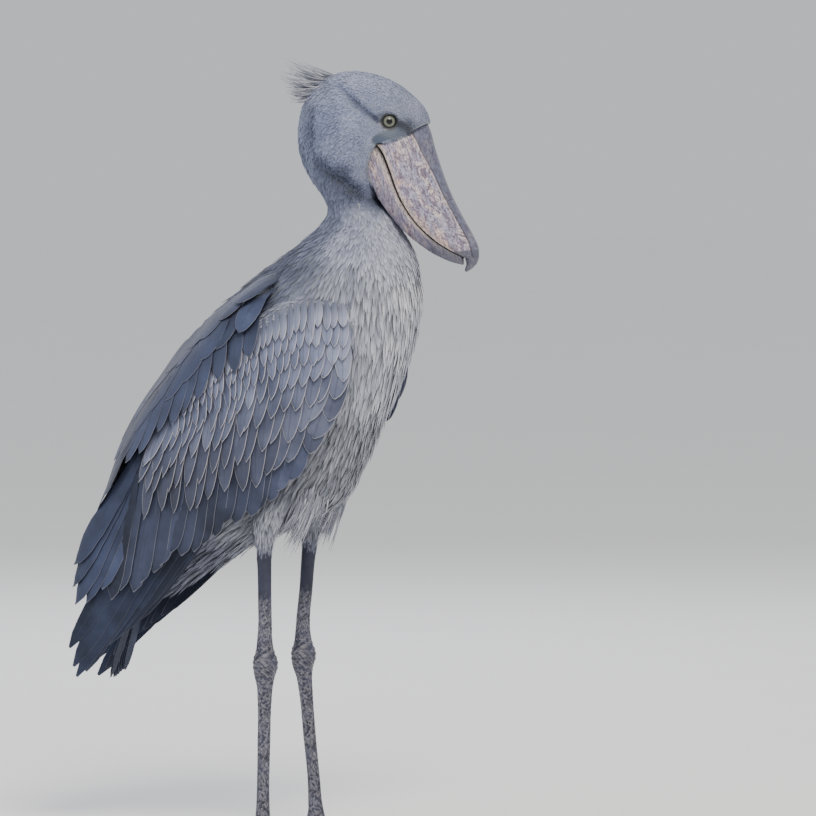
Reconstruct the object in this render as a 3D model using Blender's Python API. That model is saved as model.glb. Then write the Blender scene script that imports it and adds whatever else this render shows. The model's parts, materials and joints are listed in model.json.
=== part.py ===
"""Shoebill standing at rest, life size, as a still museum model.

Metres, +Z up, the bird faces +X and its left side is +Y. Shapes are worked out on a bench
frame with the feet near x = 0 and the soles at z = 0, and centre_on_floor() then moves all of
it so that the middle of the whole model's box stands over the origin.
"""

import math
from collections import namedtuple

import bmesh
import bpy
import numpy as np

MM = 0.001
GAP = 0.0003
VANE_THICK = 0.0009
RING_SIDES = 24

# Ribs of the body, from the rump to the face. Each rib is one cross-section: where it meets
# the back line and the belly line in the side view, its half width, and how far its widest
# place sits towards the belly (0 is an even ellipse). Millimetres.
Rib = namedtuple("Rib", "back_x back_z belly_x belly_z half_width skew")

BODY_RIBS = [
    Rib(-298, 402, -206, 334, 34, 0.0),
    Rib(-293, 446, -168, 350, 48, 0.0),
    Rib(-283, 485, -132, 372, 60, 0.0),
    Rib(-265, 534, -90, 396, 75, 0.0),
    Rib(-244, 583, -40, 424, 90, 0.0),
    Rib(-217, 629, 24, 452, 104, 0.0),
    Rib(-187, 669, 86, 484, 115, 0.0),
    Rib(-146, 724, 120, 537, 121, 0.0),
    Rib(-92, 778, 150, 602, 120, 0.0),
    Rib(-33, 825, 179, 668, 112, 0.05),
    Rib(24, 865, 202, 742, 96, 0.12),
    Rib(60, 894, 206, 802, 77, 0.15),
    Rib(70, 911, 196, 852, 62, 0.1),
    Rib(63, 928, 172, 890, 52, 0.05),
    Rib(52, 944, 152, 912, 48, 0.05),
    Rib(39, 966, 142, 923, 48, 0.1),
    Rib(29, 993, 138, 928, 50, 0.15),
    Rib(26, 1025, 137, 936, 52, 0.2),
    Rib(34, 1064, 138, 944, 53, 0.25),
    Rib(59, 1096, 141, 950, 53, 0.28),
    Rib(94, 1111, 146, 954, 52, 0.3),
    Rib(131, 1109, 153, 958, 51, 0.3),
    Rib(165, 1097, 162, 964, 50, 0.3),
    Rib(193, 1078, 174, 972, 46, 0.3),
    Rib(212, 1057, 188, 985, 40, 0.25),
    Rib(219, 1040, 202, 1004, 30, 0.2),
]
RIB_RUMP_END, RIB_NECK_LOW, RIB_HEAD_LOW = 1, 11, 14

# Ribs of the folded wings' outer form, which is boxier than the body inside it.
WING_RIBS = [
    Rib(-322, 205, -300, 188, 34, 0.0),
    Rib(-321, 262, -264, 228, 42, 0.0),
    Rib(-318, 325, -228, 262, 52, 0.0),
    Rib(-311, 388, -196, 296, 63, 0.0),
    Rib(-299, 444, -158, 326, 75, 0.0),
    Rib(-281, 494, -118, 352, 87, 0.0),
    Rib(-259, 541, -74, 380, 100, 0.0),
    Rib(-237, 592, -26, 408, 115, 0.0),
    Rib(-211, 640, 36, 436, 128, 0.0),
    Rib(-182, 681, 92, 470, 137, 0.0),
    Rib(-137, 729, 128, 526, 142, 0.0),
    Rib(-87, 781, 160, 594, 143, 0.0),
    Rib(-30, 826, 190, 662, 137, 0.0),
    Rib(28, 866, 214, 738, 120, 0.0),
    Rib(66, 900, 218, 806, 92, 0.0),
]
WING_BOXINESS = 0.62

# The head is turned to the left about an upright line through the neck.
HEAD_TURN = math.radians(12.0)
NECK_AXIS_X = 100 * MM

# Soft forms of the head: where each is centred in the side view, how wide, how high.
Swell = namedtuple("Swell", "x z radius height")
HEAD_SWELLS = [
    Swell(150, 1066, 20, 3.0),
    Swell(178, 1058, 16, 2.5),
    Swell(166, 1037, 15, -5.0),
    Swell(92, 1035, 38, 5.0),
    Swell(60, 1000, 30, 3.0),
    Swell(108, 950, 24, 3.0),
    Swell(186, 1022, 14, -3.0),
]

EYE_X, EYE_Z, EYE_Y, EYE_RADIUS = 163 * MM, 1039 * MM, 31.5 * MM, 13 * MM
EYE_OPENING = 10.2 * MM
LID_THICK = 1.8 * MM

# Stations of the bill, from its root inside the face to the hook, in the side view: the
# ridge, the cutting edge, the lower edge of the lower jaw, and the half widths at each.
Station = namedtuple("Station", "ridge_x ridge_z edge_x edge_z keel_x keel_z half_width keel_half")
BILL = [
    Station(196, 1062, 122, 1020, 118, 962, 44, 36),
    Station(208, 1046, 138, 1013, 128, 958, 47, 36),
    Station(216, 1030, 152, 1002, 137, 950, 50, 35),
    Station(225, 999, 166, 974, 150, 926, 53, 32),
    Station(235, 968, 177, 944, 166, 903, 55, 29),
    Station(249, 933, 190, 917, 183, 883, 54, 26),
    Station(266, 900, 209, 890, 206, 863, 47, 22),
    Station(281, 873, 233, 867, 232, 846, 35, 17),
    Station(288, 857, 252, 854, 252, 837, 24, 11),
    Station(289, 846, 266, 846, 267, 833, 13, 6),
]
HOOK = [(287, 836, 270, 840, 8.0), (280, 828, 271, 834, 5.0), (271, 822.5, 268.5, 826, 1.6)]
RIDGE_HALF = 9.5
GROOVE_DEPTH = 1.6
MOUTH_GAP = 0.7

# The edge of the feathers round the bill, from the ridge down to the chin.
FEATHER_EDGE = [
    (217, 1037), (209, 1033), (200, 1027), (196, 1023), (188, 1018), (176, 1011), (163, 1008),
    (149, 1008), (143, 1000), (137, 986), (134, 968), (138, 950), (148, 922),
]

# Legs: fore and aft place, side place, heights and radii, in millimetres.
LEG_Y = 80
THIGH_TOP_Z, THIGH_END_Z = 520, 421
ANKLE_Z = 250
FOOT_X = {"right": -3.0, "left": 16.0}
ANKLE_X = {"right": 1.0, "left": -4.0}
THIGH_X = {"right": 0.0, "left": 6.0}

# Toes: outward angle in degrees, length without the claw, radius at the root, joints.
Toe = namedtuple("Toe", "name angle length radius pads claw")
TOES = [
    Toe("inner", -31.0, 108.0, 7.0, 3, 19.0),
    Toe("middle", 1.0, 148.0, 7.8, 4, 20.0),
    Toe("outer", 33.0, 120.0, 6.8, 5, 17.0),
    Toe("hind", 167.0, 58.0, 6.6, 2, 22.0),
]
HUB_RADIUS = 19.0
HUB_INNER = 16.0
TOE_CROWDING = 0.25

# Tiers of wing feathers. Root and tip lines are points of the side view, from the wrist
# backwards. The lifts are how far a vane's root and tip stand off the wing's outer form, lean
# raises its lower edge over its neighbour, and stack adds to the lift from vane to vane.
Tier = namedtuple(
    "Tier", "name roots tips count width root_lift tip_lift rows columns blunt lean stack fit"
)
WING_TIERS = [
    Tier(
        "primary",
        [(50, 612), (16, 600), (-30, 585), (-80, 566), (-106, 556)],
        [(-212, 310), (-252, 284), (-290, 252), (-310, 224), (-320, 264)],
        8, 32, 0.0, 0.0, 4, 1, 0.3, 0.0, 1.25, "bladed",
    ),
    Tier(
        "secondary",
        [(98, 656), (48, 644), (-45, 620), (-135, 583), (-184, 572)],
        [(50, 524), (30, 505), (-4, 483), (-71, 441), (-144, 408), (-212, 366)],
        10, 40, -7.0, 2.6, 4, 2, 0.45, 2.2, 0.4, "close",
    ),
    Tier(
        "tertial",
        [(-136, 624), (-150, 612), (-163, 596), (-176, 576)],
        [(-234, 366), (-272, 334), (-304, 332), (-298, 420)],
        4, 36, -10.0, 7.0, 5, 1, 0.45, 1.5, 1.7, "close",
    ),
    Tier(
        "greater_covert",
        [(132, 690), (40, 672), (-53, 640), (-128, 610)],
        [(98, 578), (66, 556), (24, 532), (-30, 508), (-84, 490), (-128, 478)],
        9, 37, -4.5, 6.0, 3, 1, 0.4, 2.4, 0.2, "close",
    ),
    Tier(
        "median_covert",
        [(142, 722), (48, 712), (-38, 676), (-110, 636)],
        [(124, 642), (59, 620), (-11, 588), (-69, 563), (-128, 540)],
        9, 33, -4.5, 6.4, 3, 1, 0.4, 2.0, 0.2, "close",
    ),
    Tier(
        "lesser_covert",
        [(142, 752), (84, 760), (4, 722), (-70, 682)],
        [(138, 690), (74, 678), (6, 650), (-66, 616)],
        7, 33, -4.5, 6.4, 2, 1, 0.45, 1.9, 0.0, "close",
    ),
]

# The blade of the folded wing tip: its end in the side view, how far that stands out from
# the middle, and how it slopes and bows outwards towards the wrist.
BLADE_TIP = (-310, 224)
BLADE_WAY = (0.615, 0.788)
BLADE_TIP_Y = 29.0
BLADE_SLOPE = 0.2
BLADE_BOW = -4.0
BLADE_LENGTH = 410.0

# The arm of the folded wing, under its coverts: its upper and lower edge in the side view.
ARM_TOP = [(150, 748), (110, 782), (50, 784), (-40, 738), (-120, 680), (-206, 586)]
ARM_LOW = [(132, 656), (98, 622), (40, 598), (-50, 562), (-125, 536), (-206, 520)]
ARM_EDGE = 4.5
ARM_SINK = 20.0
ARM_FACE = 0.5
ARM_ROUND = 0.2

# Shoulder feathers, which grow from the back and lie over the top of the wing.
SCAPULARS = Tier(
    "scapular",
    [(20, 806), (-20, 784), (-60, 756), (-104, 724), (-140, 690), (-168, 650)],
    [(16, 716), (-30, 680), (-72, 640), (-118, 606), (-170, 570), (-220, 530), (-256, 496)],
    6, 50, 8.0, 8.0, 4, 2, 0.5, 1.4, 1.0, "over",
)
SCAPULAR_RISE = 0.15
BURIED = 5.0
LIFT_POWER = 1.2

TAIL_ROOT = (-226, 376)
TAIL_TIP = (-282, 226)
TAIL_PAIRS = 5
TAIL_WIDTH = 24
TAIL_SPREAD = 17.0

# Crest: flat locks side by side, each in its own upright plane, fanned from the crown's
# back. The two lines are points of the side view, from the top lock to the lowest.
CREST_ROOTS = [(86, 1102), (66, 1092), (50, 1074)]
CREST_TIPS = [(17, 1129), (7, 1113), (4, 1093), (10, 1071)]
CREST_LOCKS = 11
CREST_SPACING = 2.5
CREST_SPREAD = 1.5
LOCK_WIDTH = 7.0
LOCK_THICK = 1.3
LOCK_BOW = 1.5

# Loose plumes that hang from the belly, in front of the thighs and between them: root and
# tip in the side view, and how far each hangs from the middle.
Plume = namedtuple("Plume", "root tip side")
BELLY_PLUMES = [Plume((80, 508), (34, 426), 62), Plume((90, 530), (66, 458), 40)]
PLUME_WIDTH = 30.0
PLUME_THICK = 9.0
PLUME_BOW = -4.0

PLUMAGE = (0.21, 0.24, 0.31)
WING_GREY = (0.10, 0.125, 0.18)
HORN = (0.50, 0.40, 0.37)
LEG_SKIN = (0.07, 0.068, 0.075)
CLAW_HORN = (0.035, 0.03, 0.03)
IRIS = (0.52, 0.52, 0.40)


def smooth_line(points, count):
    """Reads evenly spaced points from a smooth curve through the given rows of numbers."""
    rows = np.array(points, float)
    steps = np.maximum(np.linalg.norm(np.diff(rows[:, :2], axis=0), axis=1), 1e-9)
    at = np.concatenate([[0.0], np.cumsum(steps)])
    slope = np.gradient(rows, at, axis=0)
    where = np.linspace(0.0, at[-1], count)
    piece = np.clip(np.searchsorted(at, where, side="right") - 1, 0, len(rows) - 2)
    width = (at[piece + 1] - at[piece])[:, None]
    t = (where - at[piece])[:, None] / width
    return (
        (2 * t**3 - 3 * t**2 + 1) * rows[piece]
        + (t**3 - 2 * t**2 + t) * width * slope[piece]
        + (3 * t**2 - 2 * t**3) * rows[piece + 1]
        + (t**3 - t**2) * width * slope[piece + 1]
    )


def along(line, share):
    """The point at a share (0 to 1) of a smooth line's length."""
    fine = smooth_line(line, 61)
    return np.array([np.interp(share * 60, range(61), fine[:, k]) for k in range(fine.shape[1])])


class Hull:
    """A body form swept through ribs, with a point for every place of its side view."""

    def __init__(self, ribs, boxiness=1.0):
        self.rows = smooth_line([r for r in ribs], 241) * MM
        self.rows[:, 5] /= MM
        self.boxiness = boxiness

    def rib(self, s):
        """The rib's six numbers at s, from 0 at the first rib to 1 at the last."""
        place = np.clip(s, 0, 1) * (len(self.rows) - 1)
        low = np.minimum(np.asarray(place, int), len(self.rows) - 2)
        part = (place - low)[..., None]
        return self.rows[low] * (1 - part) + self.rows[low + 1] * part

    def surface(self, s, angle):
        """The point at s and angle, which is 0 at the back and pi at the belly."""
        bx, bz, vx, vz, half, skew = np.moveaxis(self.rib(s), -1, 0)
        down = (1 - np.cos(angle)) / 2
        side = np.sin(angle)
        out = np.sign(side) * np.abs(side) ** self.boxiness * (1 - skew * np.cos(angle))
        return np.stack([bx + (vx - bx) * down, half * out, bz + (vz - bz) * down], -1)

    def point(self, s, angle, lift=0.0):
        """The surface point, moved outwards by lift."""
        s, angle = np.broadcast_arrays(np.asarray(s, float), np.asarray(angle, float))
        here = self.surface(s, angle)
        step = 1e-3
        run = self.surface(np.clip(s + step, 0, 1), angle) - self.surface(
            np.clip(s - step, 0, 1), angle
        )
        turn = self.surface(s, angle + step) - self.surface(s, angle - step)
        normal = np.cross(run, turn)
        normal /= np.maximum(np.linalg.norm(normal, axis=-1, keepdims=True), 1e-12)
        return here + normal * np.asarray(lift, float)[..., None]

    def locate(self, x, z):
        """The s and angle of the place on the left side that the side view shows at x, z."""
        x, z = np.asarray(x, float), np.asarray(z, float)
        bx, bz, vx, vz = self.rows[:, :4].T
        cross = (vx - bx) * (z[..., None] - bz) - (vz - bz) * (x[..., None] - bx)
        turns = (cross[..., :-1] >= 0) & (cross[..., 1:] < 0)
        beyond = np.where(cross[..., 0] < 0, 0, len(self.rows) - 2)
        first = np.where(turns.any(-1), turns.argmax(-1), beyond)
        low = np.take_along_axis(cross, first[..., None], -1)[..., 0]
        high = np.take_along_axis(cross, first[..., None] + 1, -1)[..., 0]
        part = np.clip(low / np.where(abs(low - high) < 1e-12, 1.0, low - high), 0, 1)
        s = (first + part) / (len(self.rows) - 1)
        bx, bz, vx, vz, _, _ = np.moveaxis(self.rib(s), -1, 0)
        share = (x - bx) * (vx - bx) + (z - bz) * (vz - bz)
        share /= (vx - bx) ** 2 + (vz - bz) ** 2
        return s, np.arccos(np.clip(1 - 2 * share, -0.985, 0.985))

    def beside(self, x, z, lift, side):
        """The point beside the side view's x, z in metres, at lift, on side +1 left or -1."""
        s, angle = self.locate(x, z)
        place = self.point(s, angle, lift)
        return place * np.array([1.0, side, 1.0])


BODY = Hull(BODY_RIBS)
WING = Hull(WING_RIBS, WING_BOXINESS)


def rib_share(ribs, number):
    """How far along the hull a rib of the table lies, as a share of its length."""
    rows = np.array(ribs, float)
    steps = np.linalg.norm(np.diff(rows[:, :2], axis=0), axis=1)
    return steps[:number].sum() / steps.sum()


def turned(points, share=1.0):
    """Points turned about the neck's axis by a share of the head's turn."""
    points = np.asarray(points, float)
    angle = HEAD_TURN * np.asarray(share, float)
    x, y = points[..., 0] - NECK_AXIS_X, points[..., 1]
    return np.stack(
        [
            NECK_AXIS_X + x * np.cos(angle) - y * np.sin(angle),
            x * np.sin(angle) + y * np.cos(angle),
            points[..., 2],
        ],
        -1,
    )


def turned_way(way):
    """A direction turned with the head."""
    middle = np.array([NECK_AXIS_X, 0.0, 0.0])
    return turned(middle + np.asarray(way, float)) - middle


def material(name, colour, roughness, metallic=0.0):
    """A plain Principled material."""
    made = bpy.data.materials.get(name) or bpy.data.materials.new(name)
    made.use_nodes = True
    shader = made.node_tree.nodes["Principled BSDF"]
    shader.inputs["Base Color"].default_value = (*colour, 1.0)
    shader.inputs["Roughness"].default_value = roughness
    shader.inputs["Metallic"].default_value = metallic
    return made


def mesh_object(name, points, faces, finish=None):
    """A mesh object from points and faces, its faces turned outwards."""
    mesh = bpy.data.meshes.new(name)
    mesh.from_pydata([tuple(map(float, p)) for p in points], [], [tuple(f) for f in faces])
    shell = bmesh.new()
    shell.from_mesh(mesh)
    bmesh.ops.recalc_face_normals(shell, faces=shell.faces)
    shell.to_mesh(mesh)
    shell.free()
    made = bpy.data.objects.new(name, mesh)
    bpy.context.scene.collection.objects.link(made)
    if finish:
        mesh.materials.append(finish)
    return made


def loft(name, rings, finish=None, start=None, end=None):
    """A closed skin over rings of equal count; start and end are its poles, else flat caps."""
    count = len(rings[0])
    points = [p for ring in rings for p in ring]
    faces = []
    for i in range(len(rings) - 1):
        for j in range(count):
            k = (j + 1) % count
            a, b = i * count + j, i * count + k
            faces += [(a, b, b + count), (a, b + count, a + count)]
    for pole, first in ((start, 0), (end, (len(rings) - 1) * count)):
        if pole is None:
            faces.append([first + j for j in range(count)])
            continue
        points.append(pole)
        tip = len(points) - 1
        faces += [(first + j, first + (j + 1) % count, tip) for j in range(count)]
    return mesh_object(name, points, faces, finish)


def boolean(target, others, operation, solver="EXACT"):
    """Applies one Boolean of a collection of closed meshes to target, and removes them."""
    cutters = bpy.data.collections.new("cutters")
    bpy.context.scene.collection.children.link(cutters)
    for other in others:
        bpy.context.scene.collection.objects.unlink(other)
        cutters.objects.link(other)
    step = target.modifiers.new("step", "BOOLEAN")
    step.operand_type = "COLLECTION"
    step.collection = cutters
    step.operation = operation
    step.solver = solver
    bpy.context.view_layer.update()
    graph = bpy.context.evaluated_depsgraph_get()
    result = bpy.data.meshes.new_from_object(target.evaluated_get(graph), depsgraph=graph)
    target.modifiers.clear()
    target.data = result
    for other in list(cutters.objects):
        bpy.data.objects.remove(other)
    bpy.data.collections.remove(cutters)
    keep_largest(target)
    return target


def keep_largest(target):
    """Keeps only the largest closed surface of a mesh."""
    shell = bmesh.new()
    shell.from_mesh(target.data)
    bmesh.ops.triangulate(shell, faces=shell.faces)
    seen, groups = set(), []
    for face in shell.faces:
        if face in seen:
            continue
        group, queue = [], [face]
        seen.add(face)
        while queue:
            here = queue.pop()
            group.append(here)
            for edge in here.edges:
                for other in edge.link_faces:
                    if other not in seen:
                        seen.add(other)
                        queue.append(other)
        groups.append(group)
    groups.sort(key=lambda g: -sum(f.calc_area() for f in g))
    spare = [f for group in groups[1:] for f in group]
    bmesh.ops.delete(shell, geom=spare, context="FACES")
    shell.to_mesh(target.data)
    shell.free()


def cut_flat(target, place, normal):
    """Cuts away the side that normal points to, and closes the cut with a flat face."""
    shell = bmesh.new()
    shell.from_mesh(target.data)
    found = bmesh.ops.bisect_plane(
        shell,
        geom=shell.verts[:] + shell.edges[:] + shell.faces[:],
        plane_co=place,
        plane_no=normal,
        clear_outer=True,
    )
    rim = [e for e in found["geom_cut"] if isinstance(e, bmesh.types.BMEdge)]
    bmesh.ops.contextual_create(shell, geom=rim)
    bmesh.ops.triangulate(shell, faces=[f for f in shell.faces if len(f.verts) > 4])
    bmesh.ops.recalc_face_normals(shell, faces=shell.faces)
    shell.to_mesh(target.data)
    shell.free()


def vane_mesh(name, grid_top, grid_low, finish=None):
    """A thin closed vane from two grids of rows and columns, split alike on both faces."""
    rows, columns = grid_top.shape[:2]
    points = np.concatenate([grid_top.reshape(-1, 3), grid_low.reshape(-1, 3)])
    low = rows * columns
    faces = []
    for i in range(rows - 1):
        for j in range(columns - 1):
            a, b = i * columns + j, i * columns + j + 1
            c, d = b + columns, a + columns
            faces += [(a, b, c), (a, c, d), (low + a, low + c, low + b), (low + a, low + d, low + c)]
    rim = [(0, j) for j in range(columns)]
    rim += [(i, columns - 1) for i in range(1, rows)]
    rim += [(rows - 1, j) for j in range(columns - 2, -1, -1)]
    rim += [(i, 0) for i in range(rows - 2, 0, -1)]
    ring = [i * columns + j for i, j in rim]
    for a, b in zip(ring, ring[1:] + ring[:1]):
        faces += [(a, low + a, low + b), (a, low + b, b)]
    return mesh_object(name, points, faces, finish)


def vane_width(share, blunt):
    """The half width of a vane at a share of its length, next to its greatest."""
    swell = 0.42 + 0.58 * math.sin(min(share / 0.55, 1.0) * math.pi / 2)
    close = max(0.0, (share - (1 - blunt)) / blunt)
    return swell * math.sqrt(max(0.0, 1 - 0.93 * close**2))


def vane_grid(tier, width, shares, place_at):
    """The two faces of a vane. place_at gives the point at a share of its length, a distance
    across it, and a height above its own middle layer."""
    faces = ([], [])
    for share in shares:
        half = width / 2 * vane_width(share, tier.blunt)
        for face, step in zip(faces, (VANE_THICK / 2, -VANE_THICK / 2)):
            face.append(
                [
                    place_at(share, half * w, tier.lean * MM * w + step)
                    for w in np.linspace(-1, 1, tier.columns + 1)
                ]
            )
    return np.array(faces[0]), np.array(faces[1])


def tier_vanes(tier, word, side):
    """All the vanes of a tier on one side, from the wrist backwards."""
    made = []
    for i in range(tier.count):
        share = i / (tier.count - 1)
        sway = 0.12 * math.sin(5.1 * i + len(tier.name))
        root = along(tier.roots, share) * MM
        tip = (along(tier.tips, share) + np.array([3.0, 5.0]) * sway) * MM
        width = tier.width * MM * (1 + 0.5 * sway)
        shares, place_at = FITS[tier.fit](tier, side, tier.stack * i * MM, root, tip)
        grids = vane_grid(tier, width, shares, place_at)
        made.append(vane_mesh(f"{tier.name}_{word}_{i}", *grids))
    return made


def beside_line(root, tip):
    """A function for the place of the side view at a share from root to tip, and across."""
    run = tip - root
    across = np.array([-run[1], run[0]]) / np.linalg.norm(run)
    return lambda share, offset: root + run * share + across * offset


def close_fit(tier, side, raised, root, tip):
    """Lays a vane on the wing's outer form all along its length."""
    spot = beside_line(root, tip)

    def place_at(share, offset, step):
        lift = tier.root_lift + (tier.tip_lift - tier.root_lift) * share**LIFT_POWER
        x, z = spot(share, offset)
        return WING.beside(x, z, lift * MM + raised + step, side)

    return np.linspace(0, 1, tier.rows + 1), place_at


def bladed(tier, side, raised, root, tip):
    """Lays a wing-tip vane flat in the closed blade beside the tail."""
    spot = beside_line(root, tip)

    def place_at(share, offset, step):
        x, z = spot(share, offset)
        reach = ((x - BLADE_TIP[0] * MM) * BLADE_WAY[0] + (z - BLADE_TIP[1] * MM) * BLADE_WAY[1])
        bow = BLADE_BOW * MM * math.sin(math.pi * reach / (BLADE_LENGTH * MM))
        y = BLADE_TIP_Y * MM + BLADE_SLOPE * reach + bow + raised + step
        return np.array([x, side * y, z])

    return np.linspace(0, 1, tier.rows + 1), place_at


def over_wing(tier, side, raised, root, tip):
    """Lays a shoulder vane, which starts inside the back and bends over the wing."""
    spot = beside_line(root, tip)

    def place_at(share, offset, step):
        x, z = spot(share, offset)
        if share < SCAPULAR_RISE:
            return BODY.beside(x, z, -BURIED * MM + raised + step, side)
        return WING.beside(x, z, tier.tip_lift * MM + raised + step, side)

    return [0.0, *np.linspace(SCAPULAR_RISE, 1, tier.rows + 1)], place_at


FITS = {"close": close_fit, "bladed": bladed, "over": over_wing}


def hull_rings(hull, shares, sides, lift=0.0, swells=(), neck_from=None, neck_to=None):
    """Rings of the hull at the given shares, with swells and the head's turn worked in."""
    angles = np.linspace(0, 2 * math.pi, sides, endpoint=False)
    rings = []
    for s in shares:
        plain = hull.surface(np.full(sides, s), angles)
        rise = np.full(sides, float(lift))
        for swell in swells:
            away = (plain[:, 0] - swell.x * MM) ** 2 + (plain[:, 2] - swell.z * MM) ** 2
            outward = np.abs(np.sin(angles)) ** 0.5
            rise += swell.height * MM * outward * np.exp(-away / (swell.radius * MM) ** 2)
        ring = hull.point(np.full(sides, s), angles, rise)
        if neck_from is not None:
            t = np.clip((s - neck_from) / (neck_to - neck_from), 0, 1)
            ring = turned(ring, t * t * (3 - 2 * t))
        rings.append(ring)
    return rings


NECK_LOW_S = rib_share(BODY_RIBS, RIB_NECK_LOW)
HEAD_LOW_S = rib_share(BODY_RIBS, RIB_HEAD_LOW)
RUMP_S = rib_share(BODY_RIBS, RIB_RUMP_END)


def body_shape(name, first, last, count, sides=RING_SIDES, lift=0.0):
    """The body's form between two shares of its length, with rounded ends."""
    shares = np.linspace(first, last, count)
    rings = hull_rings(BODY, shares, sides, lift, HEAD_SWELLS, NECK_LOW_S, HEAD_LOW_S)
    return loft(name, rings, None, rings[0].mean(axis=0), rings[-1].mean(axis=0))


def rib_plane(number, shift=0.0):
    """A point and the headward normal of a rib's plane, moved along that normal."""
    bx, bz, vx, vz = np.array(BODY_RIBS[number][:4]) * MM
    normal = np.array([-(vz - bz), 0.0, vx - bx])
    normal /= np.linalg.norm(normal)
    return np.array([(bx + vx) / 2, 0.0, (bz + vz) / 2]) + normal * shift, normal


def trunk(name, lift=0.0):
    """The trunk's plain form, grown by lift."""
    return body_shape(name, 0.0, NECK_LOW_S + 0.05, 19, RING_SIDES, lift)


def lock_rings(root, tip, side, side_end, width, thick, bow):
    """Rings of a flat tapered lock that lies in an upright plane and bows as it runs."""
    run = tip - root
    across = np.array([-run[1], run[0]]) / np.linalg.norm(run)
    rings = []
    for t, size in ((0.0, 0.8), (0.35, 1.0), (0.7, 0.62), (1.0, 0.12)):
        spot = root + run * t + across * bow * math.sin(math.pi * t)
        half, depth = width / 2 * size, thick / 2 * (1 - 0.6 * t)
        y = side + (side_end - side) * t
        corners = [(spot + across * half, y), (spot, y + depth)]
        corners += [(spot - across * half, y), (spot, y - depth)]
        rings.append(np.array([(p[0], w, p[1]) for p, w in corners]) * MM)
    return rings


def belly_plumes():
    """The loose plumes under the belly."""
    made = []
    for side in (-1, 1):
        for plume in BELLY_PLUMES:
            root, tip = np.array(plume.root, float), np.array(plume.tip, float)
            y = side * plume.side
            rings = lock_rings(root, tip, y, y, PLUME_WIDTH, PLUME_THICK, PLUME_BOW)
            made.append(loft("plume", rings))
    return made


def make_torso(plumage):
    """The trunk with its shoulder feathers, cut flat at the neck and at the tail's root."""
    torso = trunk("torso")
    place, normal = rib_plane(RIB_NECK_LOW)
    cut_flat(torso, place, normal)
    place, normal = rib_plane(RIB_RUMP_END)
    cut_flat(torso, place, -normal)
    vanes = []
    for side, word in ((-1, "right"), (1, "left")):
        vanes += tier_vanes(SCAPULARS, word, side)
    boolean(torso, vanes + belly_plumes(), "UNION")
    torso.data.materials.clear()
    torso.data.materials.append(plumage)
    return torso


def make_neck(plumage):
    """The neck, between flat cuts at the shoulders and under the head."""
    neck = body_shape("neck", NECK_LOW_S - 0.05, HEAD_LOW_S + 0.05, 11, 24)
    place, normal = rib_plane(RIB_NECK_LOW, GAP)
    cut_flat(neck, place, -normal)
    place, normal = rib_plane(RIB_HEAD_LOW)
    cut_flat(neck, turned(place), turned_way(normal))
    neck.data.materials.append(plumage)
    return neck


def bill_section(station, upper, grow=0.0):
    """One ring of the upper or lower jaw, in the head's frame before it is turned."""
    ridge = np.array([station.ridge_x, station.ridge_z])
    edge = np.array([station.edge_x, station.edge_z])
    keel = np.array([station.keel_x, station.keel_z])
    out = (ridge - edge) / np.linalg.norm(ridge - edge)
    half = station.half_width + grow
    if upper:
        ridge_half = min(RIDGE_HALF, 0.35 * half)
        top = ridge + out * (grow + 0.6)
        half_ring = [
            (top, 0.0),
            (ridge + out * grow, ridge_half),
            (ridge - out * (GROOVE_DEPTH + 1.2 - grow), ridge_half + 1.2),
            (ridge - out * (3.2 - grow), ridge_half + 3.6),
            (ridge + (edge - ridge) * 0.32, 0.66 * half),
            (ridge + (edge - ridge) * 0.62, 0.92 * half),
            (ridge + (edge - ridge) * 0.88, half),
            (edge + out * MOUTH_GAP / 2, half - 0.8),
        ]
        half_ring.append((edge + out * MOUTH_GAP / 2, 0.0))
    else:
        down = (keel - edge) / max(np.linalg.norm(keel - edge), 1e-6)
        inside = half - 1.6
        half_ring = [
            (edge - out * MOUTH_GAP / 2, 0.0),
            (edge - out * MOUTH_GAP / 2, inside - 0.8),
            (edge + (keel - edge) * 0.3, inside),
            (edge + (keel - edge) * 0.72, inside * 0.55 + (station.keel_half + grow) * 0.45),
            (keel + down * grow, station.keel_half + grow),
            (keel - down * (2.0 - grow), 0.0),
        ]
    ring = [(p[0], w, p[1]) for p, w in half_ring]
    ring += [(p[0], -w, p[1]) for p, w in half_ring[-2:0:-1]]
    return np.array(ring) * MM


def hook_section(row):
    """One ring of the nail at the bill's end."""
    outer_x, outer_z, inner_x, inner_z, half = row
    count = len(bill_section(BILL[0], True))
    angles = np.linspace(0, 2 * math.pi, count, endpoint=False)
    down = (1 - np.cos(angles)) / 2
    x = outer_x + (inner_x - outer_x) * down
    z = outer_z + (inner_z - outer_z) * down
    return np.stack([x, half * np.sin(angles), z], -1) * MM


def smooth_stations(count):
    """Evenly spaced stations read along the bill."""
    return [Station(*row) for row in smooth_line(BILL, count)]


def bill_shape(name, upper, grow=0.0, stations=12):
    """The whole form of one jaw, its root reaching back into the face."""
    rings = [bill_section(s, upper, grow) for s in smooth_stations(stations)]
    if upper:
        rings += [hook_section(row) for row in HOOK]
    rings = [turned(ring) for ring in rings]
    return loft(name, rings, None, rings[0].mean(axis=0), rings[-1].mean(axis=0))


def face_prism(name, shift, far=0.30):
    """A block that holds all in front of the feather edge, the edge moved forward by shift."""
    line = np.array(FEATHER_EDGE, float) * MM
    slope = np.gradient(line, axis=0)
    ahead = np.stack([-slope[:, 1], slope[:, 0]], -1)
    ahead /= np.linalg.norm(ahead, axis=1, keepdims=True)
    line = line + ahead * shift
    first, last = line[0], line[-1]
    outline = [(first[0] - 0.004, first[1] + 0.03), *line, (last[0], last[1] - 0.13)]
    outline += [(last[0] + far, last[1] - 0.13), (first[0] + far, first[1] + 0.03)]
    rings = [turned(np.array([(x, y, z) for x, z in outline])) for y in (-0.09, 0.09)]
    return loft(name, rings)


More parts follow.
